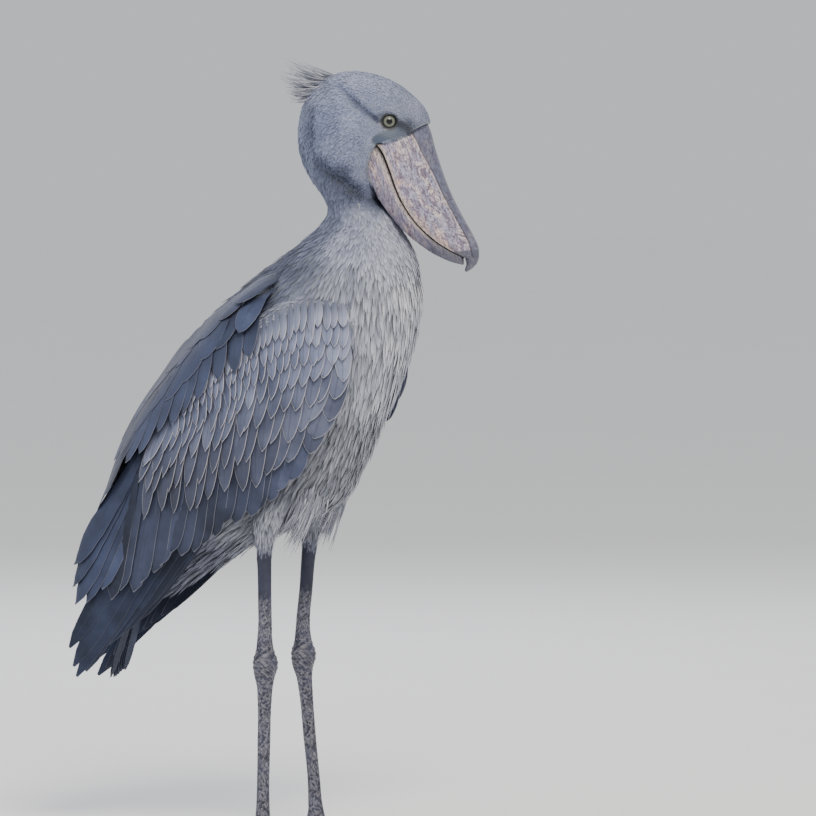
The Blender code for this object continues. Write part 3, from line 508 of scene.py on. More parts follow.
def linear(code: str) -> tuple[float, float, float, float]:
    """An sRGB hex colour as linear numbers."""
    parts = [int(code[i : i + 2], 16) / 255 for i in (1, 3, 5)]
    spread = [c / 12.92 if c <= 0.04045 else ((c + 0.055) / 1.055) ** 2.4 for c in parts]
    return (*spread, 1.0)


# Finishes


@dataclass(frozen=True)
class FeatherFinish:
    """Feather webs: locked barbs that scatter light softly, round a smoother shaft.

    The shades run from dark to pale, in blue slate and in neutral grey. A feather's own tone
    and hue pick between them. Barbs are about 0.4 mm apart on the bird and are drawn wider.
    """

    name: str
    edge: str = "#a9aeb8"
    edge_width: float = 1.1
    edge_amount: float = 0.5
    shaft: str = "#2b3140"
    shaft_width: float = 0.1
    shaft_amount: float = 0.4
    # root_shade is painted shade: how dark a feather is at its root, where the feathers over it shade it.
    root_shade: float = 0.42
    barb_pitch: float = 1.5
    barb_amount: float = 0.12
    roughness: float = 0.62
    sheen: float = 0.1
    blues: tuple[str, ...] = ("#151d30", "#394361", "#6a7495", "#9ca4c1", "#c9cee0")
    greys: tuple[str, ...] = ("#22242b", "#4c4d56", "#84868f", "#b6b7bf", "#dedfe4")

    def shades(self, tree: bpy.types.NodeTree, colours: Sequence[str], tone: bpy.types.NodeSocket) -> bpy.types.NodeSocket:
        """A colour ramp over the tone."""
        ramp = add_node(tree, "ShaderNodeValToRGB", {"Fac": tone})
        stops = ramp.color_ramp.elements
        while len(stops) < len(colours):
            stops.new(0.5)
        for i, colour in enumerate(colours):
            stops[i].position = i / (len(colours) - 1)
            stops[i].color = linear(colour)
        return ramp.outputs["Color"]

    def material(self) -> bpy.types.Material:
        """Builds the material from the feathers' own attributes."""
        made = bpy.data.materials.new(self.name)
        made.use_nodes = True
        tree = made.node_tree
        shader = tree.nodes["Principled BSDF"]
        tone = add_node(tree, "ShaderNodeAttribute", attribute_name="tone").outputs["Fac"]
        hue = add_node(tree, "ShaderNodeAttribute", attribute_name="hue").outputs["Fac"]
        rim = add_node(tree, "ShaderNodeAttribute", attribute_name="rim").outputs["Fac"]
        blade = add_node(tree, "ShaderNodeAttribute", attribute_name="blade").outputs["Vector"]
        barb = add_node(tree, "ShaderNodeAttribute", attribute_name="barb").outputs["Vector"]
        blade = add_node(tree, "ShaderNodeSeparateXYZ", {0: blade})
        barb = add_node(tree, "ShaderNodeSeparateXYZ", {0: barb})
        coords = add_node(tree, "ShaderNodeTexCoord").outputs["Object"]
        cloud = add_node(tree, "ShaderNodeTexNoise", {"Vector": coords, "Scale": 22.0, "Detail": 4.0})
        sway = add_node(tree, "ShaderNodeMapRange", {0: cloud.outputs["Fac"], 1: 0.25, 2: 0.75, 3: -0.09, 4: 0.09})
        tone = add_node(tree, "ShaderNodeMath", {0: tone, 1: sway.outputs[0]}, operation="ADD", use_clamp=True)
        tone = tone.outputs[0]
        colour = add_node(
            tree,
            "ShaderNodeMix",
            {0: hue, 6: self.shades(tree, self.blues, tone), 7: self.shades(tree, self.greys, tone)},
            data_type="RGBA",
        )
        across = add_node(tree, "ShaderNodeMath", {0: barb.outputs["X"]}, operation="ABSOLUTE")
        slant = add_node(
            tree, "ShaderNodeMath", {0: across.outputs[0], 1: -1.4, 2: barb.outputs["Y"]}, operation="MULTIPLY_ADD"
        )
        turn = add_node(tree, "ShaderNodeMath", {0: slant.outputs[0], 1: math.tau / self.barb_pitch}, operation="MULTIPLY")
        wave = add_node(tree, "ShaderNodeMath", {0: turn.outputs[0]}, operation="SINE")
        grain = add_node(
            tree, "ShaderNodeTexNoise", {"Vector": coords, "Scale": 420.0, "Detail": 2.0, "Roughness": 0.7}
        )
        relief = add_node(
            tree, "ShaderNodeMath", {0: wave.outputs[0], 1: 0.35, 2: grain.outputs["Fac"]}, operation="MULTIPLY_ADD"
        )
        streak = add_node(
            tree,
            "ShaderNodeMapRange",
            {0: relief.outputs[0], 1: 0.1, 2: 0.9, 3: 1 - self.barb_amount, 4: 1 + self.barb_amount},
        )
        # Painted shade: each feather darkens towards its root, down to root_shade, for the shadow cast by the feathers
        # that lie over it.
        depth = add_node(
            tree,
            "ShaderNodeMapRange",
            {0: blade.outputs["Y"], 1: 0.1, 2: 0.75, 3: self.root_shade, 4: 1.0},
            interpolation_type="SMOOTHSTEP",
        )
        light = add_node(tree, "ShaderNodeMath", {0: streak.outputs[0], 1: depth.outputs[0]}, operation="MULTIPLY")
        shaded = add_node(
            tree, "ShaderNodeVectorMath", {0: colour.outputs[2], "Scale": light.outputs[0]}, operation="SCALE"
        )
        side = add_node(tree, "ShaderNodeMath", {0: blade.outputs["X"]}, operation="ABSOLUTE")
        shaft = add_node(
            tree,
            "ShaderNodeMapRange",
            {0: side.outputs[0], 1: self.shaft_width * 0.4, 2: self.shaft_width, 3: self.shaft_amount, 4: 0.0},
        )
        veined = add_node(
            tree,
            "ShaderNodeMix",
            {0: shaft.outputs[0], 6: shaded.outputs[0], 7: linear(self.shaft)},
            data_type="RGBA",
        )
        edge = add_node(
            tree,
            "ShaderNodeMapRange",
            {0: rim, 1: self.edge_width * 0.35, 2: self.edge_width, 3: self.edge_amount, 4: 0.0},
            interpolation_type="SMOOTHSTEP",
        )
        outer = add_node(
            tree, "ShaderNodeMapRange", {0: blade.outputs["Y"], 1: 0.35, 2: 0.7, 3: 0.0, 4: 1.0}
        )
        worn = add_node(tree, "ShaderNodeMath", {0: edge.outputs[0], 1: outer.outputs[0]}, operation="MULTIPLY")
        worn = add_node(tree, "ShaderNodeMath", {0: worn.outputs[0], 1: blade.outputs["Z"]}, operation="MULTIPLY")
        edged = add_node(
            tree,
            "ShaderNodeMix",
            {0: worn.outputs[0], 6: veined.outputs[2], 7: linear(self.edge)},
            data_type="RGBA",
        )
        bump = add_node(
            tree, "ShaderNodeBump", {"Strength": 0.35, "Distance": 0.0004, "Height": relief.outputs[0]}
        )
        tree.links.new(edged.outputs[2], shader.inputs["Base Color"])
        tree.links.new(bump.outputs[0], shader.inputs["Normal"])
        shader.inputs["Roughness"].default_value = self.roughness
        shader.inputs["Specular IOR Level"].default_value = 0.35
        shader.inputs["Sheen Weight"].default_value = self.sheen
        shader.inputs["Sheen Roughness"].default_value = 0.5
        return made


@dataclass(frozen=True)
class SkinFinish:
    """Bare and downy skin: soft, slightly waxy, finely wrinkled round the eye and gape."""

    name: str = "feathered and bare skin"
    down_dark: str = "#2f3645"
    down_pale: str = "#9aa1ab"
    bare: str = "#3b4759"
    lore: str = "#191c24"
    wrinkle_pitch: float = 2.7

    def material(self) -> bpy.types.Material:
        """Builds the material; its attributes say where the skin is bare or dark."""
        made = bpy.data.materials.new(self.name)
        made.use_nodes = True
        tree = made.node_tree
        shader = tree.nodes["Principled BSDF"]
        tone = add_node(tree, "ShaderNodeAttribute", attribute_name="tone").outputs["Fac"]
        bare = add_node(tree, "ShaderNodeAttribute", attribute_name="bare").outputs["Fac"]
        lore = add_node(tree, "ShaderNodeAttribute", attribute_name="lore").outputs["Fac"]
        coords = add_node(tree, "ShaderNodeTexCoord").outputs["Object"]
        down = add_node(
            tree, "ShaderNodeMix", {0: tone, 6: linear(self.down_dark), 7: linear(self.down_pale)}, data_type="RGBA"
        )
        crease = add_node(tree, "ShaderNodeTexVoronoi", {"Vector": coords, "Scale": 900.0}, feature="DISTANCE_TO_EDGE")
        ripple = add_node(tree, "ShaderNodeAttribute", attribute_name="ripple").outputs["Fac"]
        drift = add_node(tree, "ShaderNodeTexNoise", {"Vector": coords, "Scale": 160.0, "Detail": 3.0})
        # Painted light and shade: the bare patch is lightened and darkened in rings round the eye, for the lit ridges
        # and shaded furrows of its wrinkles.
        turn = add_node(
            tree, "ShaderNodeMath", {0: ripple, 1: math.tau / self.wrinkle_pitch}, operation="MULTIPLY"
        )
        turn = add_node(
            tree, "ShaderNodeMath", {0: drift.outputs["Fac"], 1: 9.0, 2: turn.outputs[0]}, operation="MULTIPLY_ADD"
        )
        wave = add_node(tree, "ShaderNodeMath", {0: turn.outputs[0]}, operation="SINE")
        folds = add_node(tree, "ShaderNodeMapRange", {0: wave.outputs[0], 1: -1.0, 2: 1.0, 3: 0.7, 4: 1.4})
        patch = add_node(
            tree,
            "ShaderNodeVectorMath",
            {0: linear(self.bare)[:3], "Scale": folds.outputs[0]},
            operation="SCALE",
        )
        skin = add_node(
            tree, "ShaderNodeMix", {0: bare, 6: down.outputs[2], 7: patch.outputs[0]}, data_type="RGBA"
        )
        dark = add_node(tree, "ShaderNodeMix", {0: lore, 6: skin.outputs[2], 7: linear(self.lore)}, data_type="RGBA")
        bump = add_node(
            tree, "ShaderNodeBump", {"Strength": 0.4, "Distance": 0.0003, "Height": crease.outputs["Distance"]}
        )
        tree.links.new(dark.outputs[2], shader.inputs["Base Color"])
        tree.links.new(bump.outputs[0], shader.inputs["Normal"])
        shader.inputs["Roughness"].default_value = 0.55
        shader.inputs["Subsurface Weight"].default_value = 0.05
        shader.inputs["Subsurface Scale"].default_value = 0.002
        return made


@dataclass(frozen=True)
class BillFinish:
    """Bill horn: layered keratin with a satin face, blotched under the surface.

    The blotches are about 10 by 30 mm, long ways down the bill, with flecks of 2 to 5 mm.
    """

    name: str = "mottled bill horn"
    cream: str = "#dccdc8"
    peach: str = "#d2ad98"
    mauve: str = "#9798b4"
    blotch: str = "#716479"
    fleck: str = "#47414f"
    ridge: str = "#4d536a"
    edge: str = "#d6c4b6"
    nail: str = "#454a5c"
    base: str = "#777b90"
    dark: str = "#1d1b1e"

    def layer(self, tree: bpy.types.NodeTree, below: bpy.types.NodeSocket, colour: str | bpy.types.NodeSocket,
              amount: bpy.types.NodeSocket) -> bpy.types.NodeSocket:
        """Lays one colour over what is below, by an amount."""
        top = linear(colour) if isinstance(colour, str) else colour
        return add_node(tree, "ShaderNodeMix", {0: amount, 6: below, 7: top}, data_type="RGBA").outputs[2]

    def patches(self, tree: bpy.types.NodeTree, grain: bpy.types.NodeSocket, scale: float, low: float,
                high: float, most: float) -> bpy.types.NodeSocket:
        """Patches of noise drawn out along the bill, from 0 to most."""
        cloud = add_node(
            tree,
            "ShaderNodeTexNoise",
            {"Vector": grain, "Scale": scale, "Detail": 5.0, "Roughness": 0.66, "Distortion": 0.7},
        )
        level = add_node(tree, "ShaderNodeMapRange", {0: cloud.outputs["Fac"], 1: low, 2: high, 3: 0.0, 4: most})
        return level.outputs[0]

    def material(self) -> bpy.types.Material:
        """Builds the material from the bill's zones."""
        made = bpy.data.materials.new(self.name)
        made.use_nodes = True
        tree = made.node_tree
        shader = tree.nodes["Principled BSDF"]
        zones = add_node(tree, "ShaderNodeAttribute", attribute_name="zones").outputs["Vector"]
        zones = add_node(tree, "ShaderNodeSeparateXYZ", {0: zones}).outputs
        shade = add_node(tree, "ShaderNodeAttribute", attribute_name="shade").outputs["Vector"]
        shade = add_node(tree, "ShaderNodeSeparateXYZ", {0: shade}).outputs
        grain = add_node(tree, "ShaderNodeAttribute", attribute_name="grain").outputs["Vector"]
        base = add_node(tree, "ShaderNodeAttribute", attribute_name="base").outputs["Fac"]
        line = add_node(tree, "ShaderNodeAttribute", attribute_name="line").outputs["Fac"]
        start = add_node(
            tree,
            "ShaderNodeMix",
            {0: shade["X"], 6: linear(self.cream), 7: linear(self.peach)},
            data_type="RGBA",
        )
        colour = self.layer(tree, start.outputs[2], self.mauve, self.patches(tree, grain, 0.5, 0.36, 0.54, 0.9))
        colour = self.layer(tree, colour, self.blotch, self.patches(tree, grain, 1.5, 0.46, 0.58, 0.95))
        colour = self.layer(tree, colour, self.edge, zones["Y"])
        band = add_node(tree, "ShaderNodeMath", {0: zones["X"], 1: 0.8}, operation="MULTIPLY").outputs[0]
        colour = self.layer(tree, colour, self.ridge, band)
        tip = add_node(tree, "ShaderNodeMath", {0: shade["Y"], 1: 0.85}, operation="MULTIPLY").outputs[0]
        colour = self.layer(tree, colour, self.nail, tip)
        colour = self.layer(tree, colour, self.base, base)
        flecks = self.patches(tree, grain, 4.0, 0.5, 0.59, 0.82)
        colour = self.layer(tree, colour, self.fleck, flecks)
        # Painted shade: the dark line along the feather edge.
        colour = self.layer(tree, colour, self.dark, line)
        # Painted shade: near-black in the groove's floor, between the jaws and under the upper jaw's overhang.
        colour = self.layer(tree, colour, self.dark, zones["Z"])
        bump = add_node(tree, "ShaderNodeBump", {"Strength": 0.3, "Distance": 0.0005, "Height": flecks})
        tree.links.new(colour, shader.inputs["Base Color"])
        tree.links.new(bump.outputs[0], shader.inputs["Normal"])
        shader.inputs["Roughness"].default_value = 0.4
        shader.inputs["Coat Weight"].default_value = 0.2
        shader.inputs["Coat Roughness"].default_value = 0.3
        return made


@dataclass(frozen=True)
class EyeFinish:
    """The eye: a pale fibrous iris round a dark pupil, under a wet clear front."""

    name: str = "wet eye"
    iris: str = "#51544e"
    iris_inner: str = "#787b71"
    ring: str = "#121316"
    pupil_angle: float = 0.34
    iris_angle: float = 0.72

    def material(self) -> bpy.types.Material:
        """Builds the material from the angle off the eye's axis."""
        made = bpy.data.materials.new(self.name)
        made.use_nodes = True
        tree = made.node_tree
        shader = tree.nodes["Principled BSDF"]
        polar = add_node(tree, "ShaderNodeAttribute", attribute_name="polar").outputs["Vector"]
        parts = add_node(tree, "ShaderNodeSeparateXYZ", {0: polar})
        fibres = add_node(
            tree, "ShaderNodeTexNoise", {"Vector": parts.outputs["Y"], "Scale": 9.0, "Detail": 4.0}, noise_dimensions="3D"
        )
        mixed = add_node(
            tree,
            "ShaderNodeMix",
            {0: fibres.outputs["Fac"], 6: linear(self.iris), 7: linear(self.iris_inner)},
            data_type="RGBA",
        )
        dark = add_node(
            tree,
            "ShaderNodeMapRange",
            {0: parts.outputs["X"], 1: self.pupil_angle - 0.02, 2: self.pupil_angle + 0.03, 3: 1.0, 4: 0.0},
        )
        outer = add_node(
            tree,
            "ShaderNodeMapRange",
            {0: parts.outputs["X"], 1: self.iris_angle - 0.1, 2: self.iris_angle + 0.06, 3: 0.0, 4: 1.0},
        )
        both = add_node(tree, "ShaderNodeMath", {0: dark.outputs[0], 1: outer.outputs[0]}, operation="MAXIMUM")
        final = add_node(
            tree, "ShaderNodeMix", {0: both.outputs[0], 6: mixed.outputs[2], 7: linear(self.ring)}, data_type="RGBA"
        )
        tree.links.new(final.outputs[2], shader.inputs["Base Color"])
        shader.inputs["Roughness"].default_value = 0.25
        shader.inputs["Specular IOR Level"].default_value = 0.2
        shader.inputs["Coat Weight"].default_value = 0.5
        shader.inputs["Coat Roughness"].default_value = 0.03
        shader.inputs["Coat IOR"].default_value = 1.38
        return made


@dataclass(frozen=True)
class LegFinish:
    """Leg skin: dry horny scales with pale worn rims, and painted shade in the hollows between them."""

    name: str = "scaled leg skin"
    dark: str = "#161b2c"
    mid: str = "#2c3046"
    rim: str = "#97949c"
    roughness: float = 0.58

    def material(self) -> bpy.types.Material:
        """Builds the material; the height attribute is the scales' relief."""
        made = bpy.data.materials.new(self.name)
        made.use_nodes = True
        tree = made.node_tree
        shader = tree.nodes["Principled BSDF"]
        height = add_node(tree, "ShaderNodeAttribute", attribute_name="height").outputs["Fac"]
        coords = add_node(tree, "ShaderNodeTexCoord").outputs["Object"]
        cloud = add_node(tree, "ShaderNodeTexNoise", {"Vector": coords, "Scale": 45.0, "Detail": 5.0})
        tint = add_node(tree, "ShaderNodeMapRange", {0: cloud.outputs["Fac"], 1: 0.35, 2: 0.65})
        body = add_node(
            tree, "ShaderNodeMix", {0: tint.outputs[0], 6: linear(self.dark), 7: linear(self.mid)}, data_type="RGBA"
        )
        cells = add_node(tree, "ShaderNodeTexVoronoi", {"Vector": coords, "Scale": 420.0}, feature="DISTANCE_TO_EDGE")
        worn = add_node(tree, "ShaderNodeMapRange", {0: height, 1: 0.3, 2: 1.0, 3: 0.0, 4: 0.72})
        scaled = add_node(
            tree, "ShaderNodeMix", {0: worn.outputs[0], 6: body.outputs[2], 7: linear(self.rim)}, data_type="RGBA"
        )
        # Painted shade: the colour darkens along the grooves that the bump cuts between the cells.
        groove_shade = add_node(tree, "ShaderNodeMapRange", {0: cells.outputs["Distance"], 1: 0.0, 2: 0.1, 3: 0.8, 4: 1.0})
        final = add_node(
            tree, "ShaderNodeVectorMath", {0: scaled.outputs[2], "Scale": groove_shade.outputs[0]}, operation="SCALE"
        )
        bump = add_node(
            tree, "ShaderNodeBump", {"Strength": 0.5, "Distance": 0.0004, "Height": cells.outputs["Distance"]}
        )
        tree.links.new(final.outputs[0], shader.inputs["Base Color"])
        tree.links.new(bump.outputs[0], shader.inputs["Normal"])
        shader.inputs["Roughness"].default_value = self.roughness
        return made


@dataclass(frozen=True)
class ClawFinish:
    """Claw horn: dark, dense keratin with a low polish and fine lengthwise grain."""

    name: str = "claw horn"
    dark: str = "#17171a"
    pale: str = "#3b3836"

    def material(self) -> bpy.types.Material:
        """Builds the material."""
        made = bpy.data.materials.new(self.name)
        made.use_nodes = True
        tree = made.node_tree
        shader = tree.nodes["Principled BSDF"]
        coords = add_node(tree, "ShaderNodeTexCoord").outputs["Object"]
        grain = add_node(tree, "ShaderNodeTexNoise", {"Vector": coords, "Scale": 260.0, "Detail": 4.0})
        colour = add_node(
            tree,
            "ShaderNodeMix",
            {0: grain.outputs["Fac"], 6: linear(self.dark), 7: linear(self.pale)},
            data_type="RGBA",
        )
        bump = add_node(tree, "ShaderNodeBump", {"Strength": 0.2, "Distance": 0.0003, "Height": grain.outputs["Fac"]})
        tree.links.new(colour.outputs[2], shader.inputs["Base Color"])
        tree.links.new(bump.outputs[0], shader.inputs["Normal"])
        shader.inputs["Roughness"].default_value = 0.35
        return made


# The bill


# Each station: ridge, cutting edge and keel in the side view, half widths at the edge and the
# keel, and how far below the ridge the groove runs.
BILL_STATIONS = [
    (196, 1062, 122, 1020, 118, 962, 44, 36, 26),
    (208, 1046, 138, 1013, 128, 958, 47, 36, 24),
    (216, 1030, 152, 1002, 137, 950, 50, 35, 20),
    (225, 999, 166, 974, 150, 926, 53, 32, 14),
    (235, 968, 177, 944, 166, 903, 55, 29, 8.5),
    (249, 933, 190, 917, 183, 883, 54, 26, 6.5),
    (266, 900, 209, 890, 206, 863, 47, 22, 6),
    (281, 873, 233, 867, 232, 846, 35, 17, 7),
    (288, 857, 252, 854, 252, 837, 24, 11, 8),
    (289, 846, 266, 846, 267, 833, 13, 6, 8),
]
# The nail at the bill's end: outer and inner place in the side view, and half width.
NAIL = [
    (289, 841.5, 269, 843, 10.5),
    (287, 836, 270, 840, 8.0),
    (280, 828, 271, 834, 5.0),
    (271, 822.5, 268.5, 826, 1.6),
]
FEATHER_EDGE = [
    (217, 1037), (209, 1033), (200, 1027), (196, 1023), (188, 1018), (176, 1011), (163, 1008),
    (149, 1008), (143, 1000), (137, 986), (134, 968), (138, 950), (148, 922),
]


def face_prism(name: str, shift: float, drop: float) -> bpy.types.Object:
    """A block that holds all in front of the feather edge.

    Args:
        name: The block's name.
        shift: How far the edge is moved forward, in metres.
        drop: How far the block reaches down in front of the chin, in metres.

    Returns:
        The block.
    """
    line = smooth_line(FEATHER_EDGE, 40) * MM
    slope = np.gradient(line, axis=0)
    ahead = unit(np.stack([-slope[:, 1], slope[:, 0]], -1))
    line = line + ahead * shift
    first, last = line[0], line[-1]
    low = [(last[0] + 0.004, last[1] - 0.006), (last[0] + 0.017, last[1] - 0.014)]
    low += [(last[0] + 0.025, last[1] - drop), (last[0] + 0.3, last[1] - drop)]
    outline = [(first[0] - 0.004, first[1] + 0.03), *line, *low, (first[0] + 0.3, first[1] + 0.03)]
    rings = [turned(np.array([(x, y, z) for x, z in outline])) for y in (-0.09, 0.09)]
    count = len(outline)
    points = np.concatenate(rings)
    faces = [tuple(range(count)), tuple(range(count, 2 * count))]
    faces += [(i, (i + 1) % count, (i + 1) % count + count, i + count) for i in range(count)]
    return face_outwards(mesh_object(name, points, faces, False))


@dataclass
class Bill:
    """The closed bill: ridge, grooves, cutting edges, nail and nostril slits."""

    ridge_half: float = 9.5
    groove_depth: float = 1.6
    mouth_gap: float = 4.4
    stations: int = 90
    side_points: int = 22

    def upper_profile(self, row: np.ndarray, grow: float) -> tuple[np.ndarray, np.ndarray, np.ndarray]:
        """Half a section of the upper jaw.

        Args:
            row: The station's numbers.
            grow: How far the section stands outside the horn, in millimetres.

        Returns:
            Side-view points, half widths, and each point's zones: ridge, pale edge, painted shade in the groove and
            between the jaws, warmth.
        """
        ridge, edge = row[0:2], row[2:4]
        length = float(np.linalg.norm(ridge - edge))
        down = (edge - ridge) / length
        half = row[6] + grow
        flat = min(self.ridge_half, 0.35 * half)
        low = float(row[8])

        def side(reach: float) -> float:
            t = reach / length
            bulge = math.sin(math.pi / 2 * min(1.0, (t + 0.06) / 0.9)) ** 0.8
            return max(flat + 3.0, half * bulge * (1 - 0.03 * max(0.0, (t - 0.94) / 0.06) ** 2))

        wall = side(low)
        spots = []
        for wide in np.linspace(0, flat, 4):
            spots.append((wide, 0.6 * ((wide / flat) ** 2 - 1) - grow, 1.0, 0.0, 0.0, 0.0))
        for step in np.linspace(0.2, 1.0, 6):
            spots.append((flat + (wall - 0.6 - flat) * step, low * step**1.25 - 0.8 * step, 1.0, 0.0, 0.0, 0.0))
        # Painted shade: the groove's floor is partly darkened with the dark zone, for the shade in the groove.
        spots.append((wall - 1.5, low + 0.2, 1.0, 0.0, 0.5, 0.0))
        spots.append((side(low + 1.2) - 1.1, low + 1.0, 0.4, 0.0, 0.3, 0.0))
        spots.append((side(low + 1.9), low + 1.9, 0.0, 0.8, 0.0, 0.0))
        for reach in np.linspace(low + 3.4, length, self.side_points):
            t = reach / length
            rim = float(soft_step(t, 0.9, 0.98))
            spots.append((side(reach), reach, 0.0, rim, 0.0, float(soft_step(t, 0.45, 0.95))))
        # Painted shade: the faces between the jaws take the dark zone fully, for the shade in the gap.
        for wide in (half - 1.8, half - 4.0, 0.0):
            spots.append((max(wide, 0.0), length - self.mouth_gap / 2, 0.0, 0.0, 1.0, 1.0))
        table = np.array(spots)
        return ridge + down * table[:, 1:2], table[:, 0], table[:, 2:6]

    def lower_profile(self, row: np.ndarray, grow: float) -> tuple[np.ndarray, np.ndarray, np.ndarray]:
        """Half a section of the lower jaw, as upper_profile gives it."""
        ridge, edge, keel = row[0:2], row[2:4], row[4:6]
        out = (ridge - edge) / np.linalg.norm(ridge - edge)
        inside = row[6] + grow - 2.6
        low = row[7] + grow
        height = max(float(np.linalg.norm(keel - edge)), 1e-6)
        down = (keel - edge) / height
        top = edge - out * self.mouth_gap / 2
        places = [top, top, top, top - out * 0.5]
        widths = [0.0, inside - 3.5, inside - 1.4, inside - 0.4]
        # Painted shadow: the lower jaw's inner faces, and the top strip of its side below them, are darkened for the
        # shadow under the upper jaw's overhang.
        kinds = [(0.0, 0.0, 1.0, 0.0)] * 3 + [(0.0, 0.0, 0.9, 0.0)]
        for t in np.linspace(0.06, 1.0, self.side_points - 4):
            places.append(edge + (keel - edge) * t + down * grow)
            widths.append(inside + (low - inside) * t**1.7)
            overhang_shadow = 0.8 * float(1 - soft_step(t, 0.08, 0.17))
            kinds.append((0.0, 0.7 * float(1 - soft_step(t, 0.15, 0.42)), overhang_shadow, 0.3 + 0.4 * t))
        # Painted shade: the keel rows take some of the dark ridge colour, for the shade under the jaw.
        for t in (0.8, 0.55, 0.28, 0.0):
            places.append(keel + down * (grow - 1.2 * (1 - t)))
            widths.append(low * t)
            kinds.append((0.3, 0.0, 0.0, 0.7))
        return np.array(places), np.array(widths), np.array(kinds)

    def jaw(self, name: str, upper: bool, grow: float = 0.0, root_only: bool = False) -> bpy.types.Object:
        """One jaw's closed form, its root reaching back into the face.

        Args:
            name: The object's name.
            upper: True for the upper jaw.
            grow: How far outside the horn, in millimetres.
            root_only: True for just the part inside and round the face.

        Returns:
            The object, with its zones and grain as attributes.
        """
        rows = smooth_line(BILL_STATIONS, self.stations)
        if root_only:
            rows = rows[: int(len(rows) * 0.32)]
        profile = self.upper_profile if upper else self.lower_profile
        rings, zones, grain = [], [], []
        for number, row in enumerate(rows):
            places, widths, kinds = profile(row, grow)
            ring = [(p[0], w, p[1]) for p, w in zip(places, widths)]
            ring += [(p[0], -w, p[1]) for p, w in zip(places[-2:0:-1], widths[-2:0:-1])]
            kinds = np.concatenate([kinds, kinds[-2:0:-1]])
            ring = np.array(ring) * MM
            way = number / (len(rows) - 1)
            rings.append(turned(ring))
            tip = float(soft_step(way, 0.955, 0.965)) if upper else float(soft_step(way, 0.66, 0.92))
            zones.append(np.concatenate([kinds, np.full((len(ring), 1), tip)], axis=1))
            run = np.full(len(ring), way * 215 / 16.0)
            spread = np.linalg.norm(ring[:, [0, 2]] - (row[0:2] * MM), axis=1) / MM / 6.5
            grain.append(np.stack([spread, np.sign(ring[:, 1]) * 7.3, run], -1))
        if upper and not root_only:
            count = len(rings[0])
            angles = np.linspace(0, math.tau, count, endpoint=False)
            down = (1 - np.cos(angles)) / 2
            for step, row in enumerate(smooth_line(NAIL, 14)):
                x = row[0] + (row[2] - row[0]) * down
                z = row[1] + (row[3] - row[1]) * down
                ring = np.stack([x, row[4] * np.sin(angles), z], -1) * MM
                rings.append(turned(ring))
                zones.append(np.tile([0.0, 0.0, 0.0, 0.0, 1.0], (count, 1)))
                grain.append(np.stack([down * 3, np.full(count, 2.0), np.full(count, 14.0 + step * 0.3)], -1))
        made = loft(name, rings)
        table = np.concatenate([*zones, zones[0][:1], zones[-1][:1]])
        set_attribute(made, "zones", table[:, 0:3])
        set_attribute(made, "shade", np.stack([table[:, 3], table[:, 4], np.zeros(len(table))], -1))
        set_attribute(made, "grain", np.concatenate([*grain, np.zeros((2, 3))]))
        return made

    def nostril(self, side: int) -> bpy.types.Object:
        """A slit cutter in the groove beside the ridge."""
        start, end = np.array([222.5, 1004.0]), np.array([226.5, 989.0])
        rings = []
        for share, half in ((0.0, 0.2), (0.3, 0.8), (0.5, 1.0), (0.7, 0.8), (1.0, 0.2)):
            spot = start + (end - start) * share
            y = side * (self.ridge_half + 1.6)
            box = [(-9, -half), (9, -half), (9, half), (-9, half)]
            ring = [(spot[0] + dx * 0.85, y + w - side * dx * 0.1, spot[1] + dx * 0.3) for dx, w in box]
            rings.append(turned(np.array(ring) * MM))
        return loft(f"nostril_{side}", rings)

    def build(self, horn: bpy.types.Material) -> None:
        """Makes both jaws, cut along the feather edge."""
        for name, upper in (("bill_upper", True), ("bill_lower", False)):
            jaw = self.jaw(f"{name}_horn", upper)
            whole = points_of(jaw)
            marks = {layer: get_attribute(jaw, layer, 3) for layer in ("zones", "grain", "shade")}
            boolean(jaw, [face_prism("front", -0.002, 0.13)], "INTERSECT")
            if upper:
                boolean(jaw, [self.nostril(-1), self.nostril(1)], "DIFFERENCE")
            carry(jaw, whole, marks)
            spots = points_of(jaw)
            edge = turned(np.array([(x, 0.0, z) for x, z in smooth_line(FEATHER_EDGE, 60) * MM]))
            near = np.min(np.linalg.norm(spots[:, None, [0, 2]] - edge[None, :, [0, 2]], axis=2), axis=1)
            # Painted shade: a dark line on the horn along the feather edge, where the feathers' edge shades the bill;
            # full on the upper jaw, weaker on the lower.
            line = 1 - soft_step(near, 0.0013, 0.0036)
            set_attribute(jaw, "base", (1 - soft_step(near, 0.002, 0.016)) * (0.1 if upper else 0.7))
            set_attribute(jaw, "line", line * (1.0 if upper else 0.3))
            jaw.data.materials.clear()
            jaw.data.materials.append(horn)
            dress(jaw, "bill_horn", name)


def dress(piece: bpy.types.Object, slot: str, *nodes: str) -> None:
    """Ties a piece to the body, hides the solids it stands for and logs its triangles."""
    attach(piece, "root")
    if nodes:
        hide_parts(*nodes)
    piece.data.calc_loop_triangles()
    log.info("%s: %d triangles", piece.name, len(piece.data.loop_triangles))


# The skin


def ball(name: str, place: np.ndarray, radius: float, segments: int = 48, rings: int = 24) -> bpy.types.Object:
    """A ball whose poles lie across the bird."""
    angles = np.linspace(0, math.tau, segments, endpoint=False)
    made = []
    for turn in np.linspace(0, math.pi, rings + 1)[1:-1]:
        x, z = np.cos(angles) * math.sin(turn), np.sin(angles) * math.sin(turn)
        made.append(place + radius * np.stack([x, np.full(segments, -math.cos(turn)), z], -1))
    return loft(name, made, place - [0, radius, 0], place + [0, radius, 0])


def eye_place(side: int) -> np.ndarray:
    """The middle of an eye, side -1 on the right."""
    return turned(EYE_AT * np.array([1, side, 1]))


def eye_axes(side: int) -> tuple[np.ndarray, np.ndarray, np.ndarray]:
    """The eye's outward, forward and upward directions."""
    outward = turned_way((0.24, side, 0.05))
    ahead = unit(np.cross([0, 0, 1.0], outward)) * -side
    return outward, ahead, np.cross(ahead, outward) * side


